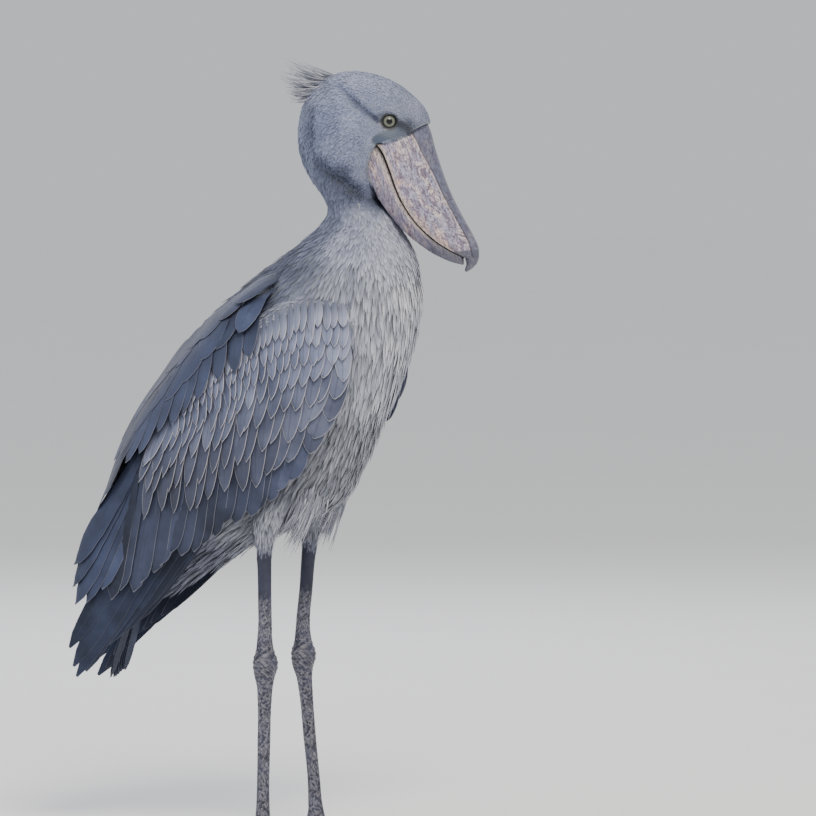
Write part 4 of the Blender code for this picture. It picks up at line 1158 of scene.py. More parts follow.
@dataclass
class Skin:
    """One skin over trunk, neck, head, thighs and the arms of the wings."""

    trunk_rings: int = 100
    head_rings: int = 150
    sides: int = 136
    lid_thick: float = 1.3
    opening: float = 11.3
    arm_top: tuple = ((150, 748), (110, 782), (50, 784), (-40, 738), (-120, 680), (-206, 586))
    arm_low: tuple = ((132, 656), (98, 622), (40, 598), (-50, 562), (-125, 536), (-206, 520))

    def depth(self, s: np.ndarray) -> np.ndarray:
        """How deep the skin lies under the coat at a place along the body."""
        trunk = 5.0 - 2.2 * soft_step(s, NECK_LOW_S - 0.12, NECK_LOW_S)
        return (trunk - 1.8 * soft_step(s, NECK_LOW_S, HEAD_LOW_S + 0.05)) * MM

    def crease(self, plain: np.ndarray, line: Sequence, width: float, height: float) -> np.ndarray:
        """A long soft form along a line of the side view."""
        near, place = off_line(plain, line)
        fade = np.sin(np.pi * np.clip(place * 0.9 + 0.08, 0, 1)) ** 0.5
        return height * MM * np.exp(-((near / width) ** 2)) * fade

    def relief(self, plain: np.ndarray, angles: np.ndarray) -> np.ndarray:
        """The head's soft forms and folds over the plain ribs."""
        outward = np.abs(np.sin(angles)) ** 0.5
        rise = np.zeros(len(plain))
        for x, z, radius, height in HEAD_SWELLS:
            away = (plain[:, 0] - x * MM) ** 2 + (plain[:, 2] - z * MM) ** 2
            rise += height * MM * np.exp(-away / (radius * MM) ** 2)
        rise += self.crease(plain, BROW_CREASE, 3.4, -6.0)
        rise += self.crease(plain, [(x + 5, z + 6) for x, z in BROW_CREASE], 6.0, 2.2)
        rise += self.crease(plain, [(x - 6, z - 7) for x, z in BROW_CREASE], 8.0, 3.0)
        rise += self.crease(plain, [(x + 1, z + 5) for x, z in EYE_BROW], 4.5, 3.2)
        rise += self.crease(plain, JOWL_FOLD, 6.5, -6.0)
        rise += self.crease(plain, [(x + 6, z + 13) for x, z in JOWL_FOLD], 11.0, 4.2)
        rise += self.crease(plain, NAPE_FOLD, 8.0, -3.0)
        throat = (plain[:, 0] - 158 * MM) ** 2 + (plain[:, 2] - 905 * MM) ** 2
        front = 5.5 * MM * np.exp(-throat / (17 * MM) ** 2)
        return rise * outward + front

    def trunk_and_head(self) -> bpy.types.Object:
        """The closed form of trunk, neck and head."""
        shares = np.concatenate(
            [
                np.linspace(0.0, NECK_LOW_S, self.trunk_rings, endpoint=False),
                np.linspace(NECK_LOW_S, 1.0, self.head_rings),
            ]
        )
        angles = np.linspace(0, math.tau, self.sides, endpoint=False)
        rings = []
        for s in shares:
            where = np.full(self.sides, s)
            plain = BODY.surface(where, angles)
            rise = self.relief(plain, angles) - self.depth(where)
            rings.append(turned(BODY.point(where, angles, rise), head_share(s)))
        return loft("skin", rings)

    def lid_opening(self, side: int) -> bpy.types.Object:
        """A cone that opens the lids round the eye's front."""
        outward, ahead, up = eye_axes(side)
        angles = np.linspace(0, math.tau, 40, endpoint=False)
        rings = []
        for reach, size in ((0.0, 0.35), (0.04, 2.2)):
            spot = eye_place(side) + outward * reach
            width = self.opening * MM * size * np.cos(angles)
            width = width * np.where(np.cos(angles) > 0, 1.06, 1.0)
            height = self.opening * MM * size * 0.9 * np.sin(angles)
            rings.append(spot + ahead * width[:, None] + up * height[:, None])
        return loft(f"opening_{side}", rings)

    def arm(self, side: int) -> bpy.types.Object:
        """The wing's arm, which fits the body inside and bulges outside."""
        rows, columns = 36, 14
        top, low = smooth_line(self.arm_top, rows) * MM, smooth_line(self.arm_low, rows) * MM
        u = np.linspace(0, 1, rows)[:, None]
        v = np.linspace(0, 1, columns)[None, :]
        x = top[:, None, 0] * (1 - v) + low[:, None, 0] * v
        z = top[:, None, 1] * (1 - v) + low[:, None, 1] * v
        nearest = np.minimum(1.0, 0.3 + np.minimum(np.minimum(u, 1 - u), v) / 0.2)
        skin = BODY.beside(x, z, -8 * MM, side)
        face = WING.beside(x, z, (-2.5 + 20 * (np.sqrt(nearest) - 1)) * MM, side)
        grids = [face.reshape(-1, 3), skin.reshape(-1, 3)]
        return sheet_mesh(f"arm_{side}", grids, rows, columns)

    def thigh(self, side: int, word: str) -> bpy.types.Object:
        """The feathered thigh's flesh."""
        x = {"right": 0.0, "left": 6.0}[word]
        y = side * 80
        table = [
            (x + 24, y * 0.84, 536, 30, 22),
            (x + 22, y * 0.86, 526, 31, 23),
            (x + 14, y * 0.92, 492, 30, 24),
            (x + 4, y * 0.98, 462, 21, 19),
            (x + 1, y, 440, 13.5, 13),
            (x, y, 424, 10, 9.6),
            (x, y, 414, 9.4, 9.0),
        ]
        return loft(f"thigh_{word}", round_rings(table, 26, 44))

    def build(self) -> bpy.types.Object:
        """Joins the flesh into one closed skin, open round the bill and the eyes."""
        skin = self.trunk_and_head()
        bill = Bill(side_points=14)
        flesh = [bill.jaw("root_up", True, 0.6, True), bill.jaw("root_low", False, 0.6, True)]
        flesh += [ball(f"lid_{s}", eye_place(s), EYE_RADIUS + self.lid_thick * MM) for s, _ in SIDES]
        flesh += [self.arm(s) for s, _ in SIDES]
        flesh += [self.thigh(s, word) for s, word in SIDES]
        boolean(skin, flesh, "UNION")
        boolean(skin, [face_prism("face", 0.0, 0.015)], "DIFFERENCE")
        cuts = [ball(f"socket_{s}", eye_place(s), EYE_RADIUS + 0.2 * MM) for s, _ in SIDES]
        cuts += [self.lid_opening(s) for s, _ in SIDES]
        boolean(skin, cuts, "DIFFERENCE")
        for layer in ("zones", "grain", "shade"):
            old = skin.data.attributes.get(layer)
            if old:
                skin.data.attributes.remove(old)
        return skin


def sheet_mesh(name: str, grids: Sequence[np.ndarray], rows: int, columns: int) -> bpy.types.Object:
    """A closed sheet between two grids of rows by columns points."""
    low = rows * columns
    faces = []
    for i in range(rows - 1):
        for j in range(columns - 1):
            a, b = i * columns + j, i * columns + j + 1
            c, d = b + columns, a + columns
            faces += [(a, b, c, d), (low + a, low + d, low + c, low + b)]
    for a, b in rim_pairs(rows, columns):
        faces.append((a, low + a, low + b, b))
    return face_outwards(mesh_object(name, np.concatenate(grids), faces))


def rim_pairs(rows: int, columns: int) -> list[tuple[int, int]]:
    """The edge pairs round a grid's rim."""
    rim = [(0, j) for j in range(columns)]
    rim += [(i, columns - 1) for i in range(1, rows)]
    rim += [(rows - 1, j) for j in range(columns - 2, -1, -1)]
    rim += [(i, 0) for i in range(rows - 2, 0, -1)]
    ring = [i * columns + j for i, j in rim]
    return list(zip(ring, ring[1:] + ring[:1]))


def round_rings(table: Sequence, count: int, sides: int) -> list[np.ndarray]:
    """Level oval rings read smoothly from rows of x, y, z, fore and side radius."""
    rows = np.array(table, float)
    order = rows[:, [2, 0, 1, 3, 4]]
    read = smooth_line(order, count)[:, [1, 2, 0, 3, 4]]
    angles = np.linspace(0, math.tau, sides, endpoint=False)
    rings = []
    for x, y, z, fore, wide in read:
        ring = np.stack([x + fore * np.cos(angles), y + wide * np.sin(angles), np.full(sides, z)], -1)
        rings.append(ring * MM)
    return rings


# The coat of small feathers


class Zone(Enum):
    """The kinds of small feather, by where they grow."""

    FACE = "face"
    HEAD = "head"
    NECK = "neck"
    MANTLE = "mantle"
    BREAST = "breast"
    BELLY = "belly"
    THIGH = "thigh"
    SHOULDER = "shoulder"


class Flesh(Enum):
    """What part of the skin a point lies on."""

    BODY = 0
    ARM = 1
    THIGH = 2


@dataclass(frozen=True)
class Lie:
    """How feathers grow at a place of the side view, in millimetres and degrees."""

    zone: Zone
    x: float
    z: float
    way: float
    length: float
    width: float
    tone: float
    hue: float
    lift: float


LIES: dict[Flesh, list[Lie]] = {
    Flesh.BODY: [
        Lie(Zone.FACE, 212, 1046, 150, 4.0, 1.7, 0.59, 0.20, 0.5),
        Lie(Zone.FACE, 200, 1060, 155, 4.6, 1.8, 0.63, 0.20, 0.5),
        Lie(Zone.FACE, 186, 1052, 165, 4.0, 1.6, 0.57, 0.20, 0.4),
        Lie(Zone.FACE, 170, 1062, 172, 4.6, 1.8, 0.56, 0.15, 0.5),
        Lie(Zone.FACE, 150, 1053, 192, 4.6, 1.8, 0.53, 0.10, 0.5),
        Lie(Zone.FACE, 190, 1032, 175, 3.0, 1.4, 0.14, 0.1, 0.3),
        Lie(Zone.FACE, 147, 1034, 198, 4.6, 1.8, 0.60, 0.10, 0.5),
        Lie(Zone.FACE, 144, 1014, 204, 4.6, 1.8, 0.60, 0.15, 0.5),
        Lie(Zone.FACE, 132, 992, 212, 5.2, 1.9, 0.56, 0.2, 0.6),
        Lie(Zone.FACE, 128, 965, 222, 5.6, 2.0, 0.48, 0.20, 0.6),
        Lie(Zone.FACE, 138, 935, 236, 6.0, 2.1, 0.40, 0.20, 0.7),
        Lie(Zone.HEAD, 165, 1092, 165, 7.0, 2.4, 0.61, 0.12, 0.6),
        Lie(Zone.HEAD, 131, 1107, 175, 8.0, 2.6, 0.61, 0.12, 0.7),
        Lie(Zone.HEAD, 95, 1110, 183, 9.0, 2.8, 0.57, 0.15, 0.8),
        Lie(Zone.HEAD, 110, 1082, 190, 8.0, 2.6, 0.59, 0.10, 0.7),
        Lie(Zone.HEAD, 62, 1096, 202, 10.0, 2.8, 0.47, 0.40, 1.0),
        Lie(Zone.HEAD, 35, 1068, 238, 10.0, 3.0, 0.42, 0.3, 1.0),
        Lie(Zone.HEAD, 26, 1030, 265, 11.0, 3.0, 0.58, 0.15, 1.0),
        # Painted shade: this lie's low tone lies in the nape fold.
        Lie(Zone.HEAD, 48, 1030, 255, 10.0, 3.0, 0.36, 0.1, 0.8),
        Lie(Zone.HEAD, 78, 1042, 205, 10.0, 2.9, 0.49, 0.10, 1.0),
        Lie(Zone.HEAD, 112, 1040, 198, 8.0, 2.6, 0.59, 0.10, 0.8),
        Lie(Zone.HEAD, 85, 1010, 224, 11.0, 3.0, 0.49, 0.12, 1.2),
        Lie(Zone.HEAD, 110, 1000, 217, 9.0, 2.7, 0.55, 0.12, 0.9),
        # Painted shade: the low tones of these three lies run along the jowl fold, for the shadow under the jowl.
        Lie(Zone.HEAD, 68, 982, 238, 11.0, 3.0, 0.26, 0.20, 1.0),
        Lie(Zone.HEAD, 104, 965, 227, 10.0, 2.9, 0.21, 0.18, 1.0),
        Lie(Zone.HEAD, 118, 940, 234, 9.0, 2.8, 0.17, 0.20, 0.9),
        Lie(Zone.HEAD, 40, 985, 275, 12.0, 3.2, 0.38, 0.20, 0.9),
        Lie(Zone.NECK, 82, 935, 255, 12.0, 3.0, 0.40, 0.25, 1.0),
        Lie(Zone.NECK, 125, 905, 264, 12.0, 3.0, 0.62, 0.40, 1.0),
        Lie(Zone.NECK, 55, 935, 264, 13.0, 3.2, 0.40, 0.25, 1.0),
        Lie(Zone.NECK, 75, 905, 250, 14.0, 3.4, 0.40, 0.30, 1.1),
        Lie(Zone.NECK, 160, 890, 266, 14.0, 3.2, 0.71, 0.50, 1.0),
        Lie(Zone.NECK, 110, 870, 256, 16.0, 3.4, 0.57, 0.45, 1.2),
        Lie(Zone.NECK, 188, 855, 272, 18.0, 3.8, 0.74, 0.60, 1.2),
        Lie(Zone.NECK, 60, 885, 237, 16.0, 3.6, 0.36, 0.30, 1.3),
        Lie(Zone.MANTLE, 30, 855, 224, 24.0, 5.5, 0.21, 0.30, 1.6),
        Lie(Zone.MANTLE, 70, 830, 240, 24.0, 5.2, 0.37, 0.45, 1.6),
        Lie(Zone.MANTLE, -20, 815, 218, 28.0, 7.0, 0.13, 0.20, 1.8),
        Lie(Zone.MANTLE, -80, 775, 216, 32.0, 9.0, 0.12, 0.10, 2.0),
        Lie(Zone.MANTLE, -145, 715, 224, 36.0, 11.0, 0.12, 0.05, 2.0),
        Lie(Zone.MANTLE, -210, 630, 236, 40.0, 12.0, 0.10, 0.05, 2.0),
        Lie(Zone.MANTLE, -255, 555, 246, 42.0, 13.0, 0.10, 0.05, 2.0),
        Lie(Zone.MANTLE, -285, 470, 252, 44.0, 13.0, 0.11, 0.05, 2.0),
        Lie(Zone.BREAST, 125, 815, 262, 36.0, 3.7, 0.68, 0.60, 1.8),
        Lie(Zone.BREAST, 195, 805, 274, 38.0, 3.9, 0.84, 0.75, 1.8),
        Lie(Zone.BREAST, 160, 770, 268, 42.0, 4.1, 0.78, 0.70, 2.0),
        Lie(Zone.BREAST, 105, 778, 250, 32.0, 3.9, 0.80, 0.60, 1.8),
        Lie(Zone.BREAST, 200, 735, 272, 46.0, 4.3, 0.84, 0.75, 2.2),
        Lie(Zone.BREAST, 155, 700, 262, 48.0, 4.3, 0.74, 0.70, 2.2),
        Lie(Zone.BREAST, 180, 665, 262, 48.0, 4.3, 0.74, 0.80, 2.4),
        Lie(Zone.BELLY, 150, 618, 252, 40.0, 4.0, 0.58, 0.90, 2.6),
        Lie(Zone.BELLY, 120, 590, 240, 42.0, 4.0, 0.51, 0.90, 3.0),
        Lie(Zone.BELLY, 140, 555, 246, 28.0, 4.0, 0.54, 0.90, 1.6),
        Lie(Zone.BELLY, 128, 522, 238, 20.0, 3.6, 0.54, 0.90, 1.4),
        Lie(Zone.BELLY, 80, 540, 233, 42.0, 3.8, 0.52, 0.90, 3.0),
        Lie(Zone.BELLY, 100, 500, 238, 28.0, 3.6, 0.52, 0.85, 1.8),
        Lie(Zone.BELLY, 30, 490, 228, 42.0, 3.6, 0.48, 0.85, 3.0),
        Lie(Zone.BELLY, -20, 440, 222, 42.0, 3.8, 0.46, 0.80, 3.0),
        Lie(Zone.BELLY, -90, 410, 214, 42.0, 4.0, 0.36, 0.60, 2.5),
        Lie(Zone.BELLY, -150, 370, 212, 44.0, 5.0, 0.30, 0.50, 2.5),
        Lie(Zone.BELLY, -205, 340, 220, 46.0, 6.0, 0.20, 0.30, 2.5),
    ],
    Flesh.ARM: [
        Lie(Zone.SHOULDER, 135, 735, 264, 16.0, 8.0, 0.36, 0.30, 1.4),
        Lie(Zone.SHOULDER, 110, 768, 256, 15.0, 8.0, 0.48, 0.50, 1.4),
        Lie(Zone.SHOULDER, 60, 782, 244, 15.0, 8.0, 0.54, 0.50, 1.4),
        Lie(Zone.SHOULDER, 60, 745, 250, 17.0, 9.0, 0.40, 0.35, 1.3),
        Lie(Zone.SHOULDER, -20, 740, 228, 18.0, 9.0, 0.36, 0.30, 1.3),
        Lie(Zone.SHOULDER, 135, 690, 264, 17.0, 9.0, 0.30, 0.20, 1.2),
    ],
    Flesh.THIGH: [
        Lie(Zone.THIGH, 22, 515, 252, 26.0, 3.6, 0.60, 0.8, 1.8),
        Lie(Zone.THIGH, 20, 485, 256, 24.0, 3.4, 0.60, 0.8, 1.6),
        Lie(Zone.THIGH, 8, 450, 264, 20.0, 3.0, 0.52, 0.8, 1.3),
        Lie(Zone.THIGH, 2, 424, 268, 14.0, 2.6, 0.40, 0.6, 0.8),
    ],
}


class CoatMap:
    """Works out how feathers grow at each vertex of the skin."""

    # The part of the body under the folded wings, in the side view.
    hidden = (
        (112, 690), (104, 726), (80, 742), (30, 738), (-55, 686), (-130, 616), (-188, 545),
        (-224, 470), (-234, 425), (-200, 428), (-120, 476), (-20, 545), (78, 628),
    )

    def __init__(self, skin: bpy.types.Object) -> None:
        """Reads the skin and finds each vertex's place on the body's form.

        Args:
            skin: The finished skin.
        """
        self.skin = skin
        self.points = points_of(skin)
        self.normals = normals_of(skin)
        self.tree = BVHTree.FromObject(skin, bpy.context.evaluated_depsgraph_get())
        shares = np.linspace(0.0, 1.0, 260)
        angles = np.linspace(0, math.tau, 120, endpoint=False)
        grid_s, grid_a = (g.ravel() for g in np.meshgrid(shares, angles, indexing="ij"))
        self.grid = np.stack([grid_s, grid_a], -1)
        hull = turned(BODY.surface(grid_s, grid_a), head_share(grid_s))
        self.lookup = KDTree(len(hull))
        for i, place in enumerate(hull):
            self.lookup.insert(place, i)
        self.lookup.balance()
        self.s, self.angle, self.away = self.locate(self.points)
        self.plain = turned(self.points, -head_share(self.s))
        self.assign()

    def locate(self, points: np.ndarray) -> tuple[np.ndarray, np.ndarray, np.ndarray]:
        """The share along the body, the angle round it and the distance off it."""
        found = [self.lookup.find(p) for p in points]
        rows = self.grid[[f[1] for f in found]]
        return rows[:, 0], rows[:, 1], np.array([f[2] for f in found])

    def flesh(self) -> np.ndarray:
        """Which part of the skin each vertex lies on."""
        x, z = self.plain[:, 0] / MM, self.plain[:, 2] / MM
        aside = np.abs(self.points[:, 1]) / MM
        off = self.away / MM
        kind = np.full(len(x), Flesh.BODY.value)
        kind[(off > 6.5) & (z > 500) & (z < 800) & (x < 156) & (aside > 50)] = Flesh.ARM.value
        kind[(z < 545) & (x > -34) & (x < 62) & (aside > 56) & (off > 6.5)] = Flesh.THIGH.value
        return kind

    def face_distance(self) -> np.ndarray:
        """How far each vertex lies from the bill's feather edge, in the side view."""
        return off_line(self.plain, FEATHER_EDGE)[0] * MM

    def assign(self) -> None:
        """Interpolates the lies to every vertex."""
        count = len(self.points)
        self.zones = {zone: np.zeros(count) for zone in Zone}
        way, self.length, self.width = np.zeros((count, 2)), np.zeros(count), np.zeros(count)
        self.tone, self.hue, self.lift = np.zeros(count), np.zeros(count), np.zeros(count)
        kind = self.flesh()
        spots = self.plain[:, [0, 2]] / MM
        for flesh, lies in LIES.items():
            mask = kind == flesh.value
            places = np.array([(lie.x, lie.z) for lie in lies])
            away = np.linalg.norm(spots[mask][:, None] - places[None], axis=2)
            weight = 1 / (away**3 + 20.0)
            weight /= weight.sum(axis=1, keepdims=True)
            table = np.array([(l.length, l.width, l.tone, l.hue, l.lift) for l in lies])
            found = weight @ table
            self.length[mask], self.width[mask] = found[:, 0] * MM, found[:, 1] * MM
            self.tone[mask], self.hue[mask], self.lift[mask] = found[:, 2], found[:, 3], found[:, 4] * MM
            angles = np.radians([lie.way for lie in lies])
            way[mask] = weight @ np.stack([np.cos(angles), np.sin(angles)], -1)
            for zone in Zone:
                chosen = np.array([lie.zone is zone for lie in lies], float)
                self.zones[zone][mask] = soft_step(weight @ chosen, 0.25, 0.6)
        side = np.stack([way[:, 0], np.zeros(count), way[:, 1]], -1)
        middle = np.array([NECK_AXIS_X, 0.0, 0.0])
        side = turned(side + middle, head_share(self.s)) - middle
        flat = side - self.normals * np.sum(side * self.normals, axis=1, keepdims=True)
        self.way = unit(flat)
        self.clear_bare_places(kind)

    def clear_bare_places(self, kind: np.ndarray) -> None:
        """Leaves out feathers under the wings, at the lids and along the bill."""
        x, z = self.plain[:, 0] / MM, self.plain[:, 2] / MM
        inside = np.zeros(len(x), bool)
        for (ax, az), (bx, bz) in zip(self.hidden, self.hidden[1:] + self.hidden[:1]):
            crosses = (az > z) != (bz > z)
            inside ^= crosses & (x < (bx - ax) * (z - az) / (bz - az + 1e-9) + ax)
        under = inside & (kind == Flesh.BODY.value) & (np.abs(np.sin(self.angle)) > 0.55)
        self.open = np.where(under, 0.0, 1.0)
        self.lid = np.zeros(len(x))
        self.ripple = np.full(len(x), 99.0)
        for side, _ in SIDES:
            outward, ahead, up = eye_axes(side)
            gap = self.points - eye_place(side)
            across = np.hypot(gap @ ahead, (gap @ up) * 1.08)
            outside = gap @ outward > 0
            self.ripple[outside] = np.minimum(self.ripple, across / MM)[outside]
            near = (across < 13.6 * MM) & outside
            self.open[near] = 0.0
            self.lid[outside] += 1 - soft_step(across[outside], 12.5 * MM, 15.5 * MM)
        self.open[self.face_distance() < 1.2 * MM] = 0.0
        self.bare = self.bare_patch()
        self.open *= 1 - soft_step(self.bare, 0.25, 0.6)
        # Painted shade: the tone is darkened along the brow crease, the brow over the eye, the jowl fold and the nape
        # fold, where shade falls in the folds; the skin and the coat over it both carry it.
        for line, width, amount in ((BROW_CREASE, 3.6, 0.34), (EYE_BROW, 3.0, 0.2), (JOWL_FOLD, 6.0, 0.16), (NAPE_FOLD, 7.0, 0.1)):
            self.tone -= amount * np.exp(-((off_line(self.plain, line)[0] / width) ** 2))
        lore = off_line(self.plain, [(176, 1036), (184, 1032), (194, 1026)])[0]
        self.lore = np.exp(-((lore / 5.0) ** 2))
        self.tone = np.clip(self.tone - 0.25 * self.lore, 0.05, 1.0)

    def bare_patch(self) -> np.ndarray:
        """The wrinkled bare crescent between the eye and the bill."""
        away = off_line(self.plain, [(149, 1013), (160, 1018.5), (171, 1022), (184, 1026)])[0]
        return 1 - soft_step(away, 6.0, 9.0)

    def snap(self, points: np.ndarray) -> np.ndarray:
        """The nearest places on the skin."""
        return np.array([self.tree.find_nearest(Vector(p + SHIFT))[0] for p in points]) - SHIFT

    def write(self) -> None:
        """Writes the growth to the skin's attributes."""
        middle = self.snap(self.points + self.way * (self.length * 0.5)[:, None])
        step = unit(middle - self.points)
        far = self.snap(middle + step * (self.length * 0.5)[:, None])
        tip = far + self.normals * self.lift[:, None]
        reach = tip - self.points
        straight = self.way * (self.length * 0.92)[:, None] + self.normals * (self.lift * 0.6)[:, None]
        astray = np.sum(unit(reach) * self.way, axis=1) < 0.72
        astray |= np.linalg.norm(reach, axis=1) < 0.7 * self.length
        reach[astray] = straight[astray]
        tip = self.points + reach
        chord = (self.points + tip) / 2
        bow = np.sum((middle - chord) * self.normals, axis=1)
        set_attribute(self.skin, "reach", reach)
        set_attribute(self.skin, "out", self.normals)
        bow = np.clip(bow, -0.05 * self.length, 0.2 * self.length)
        bow[astray] = 0.0
        set_attribute(self.skin, "bow", bow + 0.0004)
        set_attribute(self.skin, "wide", self.width)
        set_attribute(self.skin, "tone", self.tone)
        set_attribute(self.skin, "hue", self.hue)

    def cover(self, zone: Zone) -> np.ndarray:
        """How fully a zone's feathers cover each vertex."""
        return self.zones[zone] * self.open


@dataclass(frozen=True)
class Coat:
    """Small feathers of one zone, grown on the skin by Geometry Nodes."""

    zone: Zone
    spacing: float
    seed: int
    rows: int = 5
    columns: int = 2
    root_power: float = 0.5
    tip_power: float = 2.4
    tip_round: float = 0.8
    thick: float = 0.5
    spread: float = 0.1
    mottle: float = 0.07

    def peak(self) -> float:
        """The greatest value of the plain outline."""
        v = np.linspace(0.001, 0.999, 200)
        return float(np.max(v**self.root_power * (1 - v**self.tip_power) ** self.tip_round))

    def blade(self, tree: bpy.types.NodeTree) -> bpy.types.NodeSocket:
        """One feather, one long and one wide, as a closed lens."""
        grid = add_node(
            tree,
            "GeometryNodeMeshGrid",
            {"Size X": 2.0, "Size Y": 1.0, "Vertices X": self.columns + 1, "Vertices Y": self.rows + 1},
        )
        place = add_node(tree, "GeometryNodeInputPosition")
        parts = add_node(tree, "ShaderNodeSeparateXYZ", {0: place.outputs[0]})
        v = add_node(tree, "ShaderNodeMath", {0: parts.outputs["Y"], 1: 0.5}, operation="ADD", use_clamp=True)
        rise = add_node(tree, "ShaderNodeMath", {0: v.outputs[0], 1: self.root_power}, operation="POWER")
        fall = add_node(tree, "ShaderNodeMath", {0: v.outputs[0], 1: self.tip_power}, operation="POWER")
        rest = add_node(tree, "ShaderNodeMath", {0: 1.0, 1: fall.outputs[0]}, operation="SUBTRACT", use_clamp=True)
        close = add_node(tree, "ShaderNodeMath", {0: rest.outputs[0], 1: self.tip_round}, operation="POWER")
        both = add_node(tree, "ShaderNodeMath", {0: rise.outputs[0], 1: close.outputs[0]}, operation="MULTIPLY")
        half = add_node(tree, "ShaderNodeMath", {0: both.outputs[0], 1: 0.5 / self.peak()}, operation="MULTIPLY")
        across = add_node(
            tree, "ShaderNodeMath", {0: parts.outputs["X"], 1: half.outputs[0]}, operation="MULTIPLY"
        )
        square = add_node(
            tree, "ShaderNodeMath", {0: parts.outputs["X"], 1: parts.outputs["X"]}, operation="MULTIPLY"
        )
        inner = add_node(tree, "ShaderNodeMath", {0: 1.0, 1: square.outputs[0]}, operation="SUBTRACT")
        arch = add_node(tree, "ShaderNodeMath", {0: inner.outputs[0], 1: half.outputs[0]}, operation="MULTIPLY")
        mark = add_node(tree, "ShaderNodeCombineXYZ", {0: parts.outputs["X"], 1: v.outputs[0], 2: half.outputs[0]})
        marked = add_node(
            tree,
            "GeometryNodeStoreNamedAttribute",
            {"Geometry": grid.outputs["Mesh"], "Name": "blade", "Value": mark.outputs[0]},
            data_type="FLOAT_VECTOR",
        )
        join = add_node(tree, "GeometryNodeJoinGeometry")
        for share, flip in ((2.0, False), (-0.7, True)):
            height = add_node(tree, "ShaderNodeMath", {0: arch.outputs[0], 1: share}, operation="MULTIPLY")
            spot = add_node(tree, "ShaderNodeCombineXYZ", {0: across.outputs[0], 1: v.outputs[0], 2: height.outputs[0]})
            face = add_node(
                tree,
                "GeometryNodeSetPosition",
                {"Geometry": marked.outputs[0], "Position": spot.outputs[0]},
            )
            if flip:
                face = add_node(tree, "GeometryNodeFlipFaces", {"Mesh": face.outputs[0]})
            tree.links.new(face.outputs[0], join.inputs[0])
        whole = add_node(tree, "GeometryNodeMergeByDistance", {"Geometry": join.outputs[0], "Distance": 1e-4})
        return whole.outputs[0]

    def tree(self, finish: bpy.types.Material) -> bpy.types.NodeTree:
        """The node tree that scatters the feathers over the skin."""
        tree = bpy.data.node_groups.new(f"feathers of the {self.zone.value}", "GeometryNodeTree")
        face = tree.interface
        face.new_socket("Skin", in_out="INPUT", socket_type="NodeSocketGeometry")
        for name in ("Spacing", "Density", "Thickness", "Spread", "Mottle"):
            face.new_socket(name, in_out="INPUT", socket_type="NodeSocketFloat")
        face.new_socket("Seed", in_out="INPUT", socket_type="NodeSocketInt")
        face.new_socket("Feathers", in_out="OUTPUT", socket_type="NodeSocketGeometry")
        given = add_node(tree, "NodeGroupInput").outputs
        cover = add_node(tree, "GeometryNodeInputNamedAttribute", {"Name": "cover"}, data_type="FLOAT")
        reach = add_node(tree, "GeometryNodeInputNamedAttribute", {"Name": "reach"}, data_type="FLOAT_VECTOR")
        out = add_node(tree, "GeometryNodeInputNamedAttribute", {"Name": "out"}, data_type="FLOAT_VECTOR")
        wide = add_node(tree, "GeometryNodeInputNamedAttribute", {"Name": "wide"}, data_type="FLOAT")
        tone = add_node(tree, "GeometryNodeInputNamedAttribute", {"Name": "tone"}, data_type="FLOAT")
        bow = add_node(tree, "GeometryNodeInputNamedAttribute", {"Name": "bow"}, data_type="FLOAT")
        spread = add_node(
            tree,
            "GeometryNodeDistributePointsOnFaces",
            {
                "Mesh": given["Skin"],
                "Distance Min": given["Spacing"],
                "Density Max": given["Density"],
                "Density Factor": cover.outputs[0],
                "Seed": given["Seed"],
            },
            distribute_method="POISSON",
        )
        place = add_node(tree, "GeometryNodeInputPosition")
        rooted = add_node(
            tree,
            "GeometryNodeStoreNamedAttribute",
            {"Geometry": spread.outputs["Points"], "Name": "root", "Value": place.outputs[0]},
            data_type="FLOAT_VECTOR",
        )
        luck = add_node(
            tree, "FunctionNodeRandomValue", {2: -1.0, 3: 1.0, "Seed": given["Seed"]}, data_type="FLOAT"
        )
        shade = add_node(
            tree,
            "ShaderNodeMath",
            {0: luck.outputs[1], 1: given["Mottle"], 2: tone.outputs[0]},
            operation="MULTIPLY_ADD",
        )
        toned = add_node(
            tree,
            "GeometryNodeStoreNamedAttribute",
            {"Geometry": rooted.outputs[0], "Name": "tone", "Value": shade.outputs[0]},
            data_type="FLOAT",
        )
        length = add_node(tree, "ShaderNodeVectorMath", {0: reach.outputs[0]}, operation="LENGTH")
        sway = add_node(
            tree,
            "FunctionNodeRandomValue",
            {0: (-1.0, -1.0, -1.0), 1: (1.0, 1.0, 1.0), "Seed": 7 + self.seed},
            data_type="FLOAT_VECTOR",
        )
        amount = add_node(
            tree, "ShaderNodeMath", {0: length.outputs["Value"], 1: given["Spread"]}, operation="MULTIPLY"
        )
        moved = add_node(
            tree, "ShaderNodeVectorMath", {0: sway.outputs[0], "Scale": amount.outputs[0]}, operation="SCALE"
        )
        aim = add_node(
            tree, "ShaderNodeVectorMath", {0: reach.outputs[0], 1: moved.outputs[0]}, operation="ADD"
        )
        turn = add_node(
            tree,
            "FunctionNodeAxesToRotation",
            {0: aim.outputs[0], 1: out.outputs[0]},
            primary_axis="Y",
            secondary_axis="Z",
        )
        stretch = add_node(
            tree, "FunctionNodeRandomValue", {2: 0.82, 3: 1.15, "Seed": 19 + self.seed}, data_type="FLOAT"
        )
        long = add_node(
            tree, "ShaderNodeMath", {0: length.outputs["Value"], 1: stretch.outputs[1]}, operation="MULTIPLY"
        )
        size = add_node(
            tree, "ShaderNodeCombineXYZ", {0: wide.outputs[0], 1: long.outputs[0], 2: given["Thickness"]}
        )
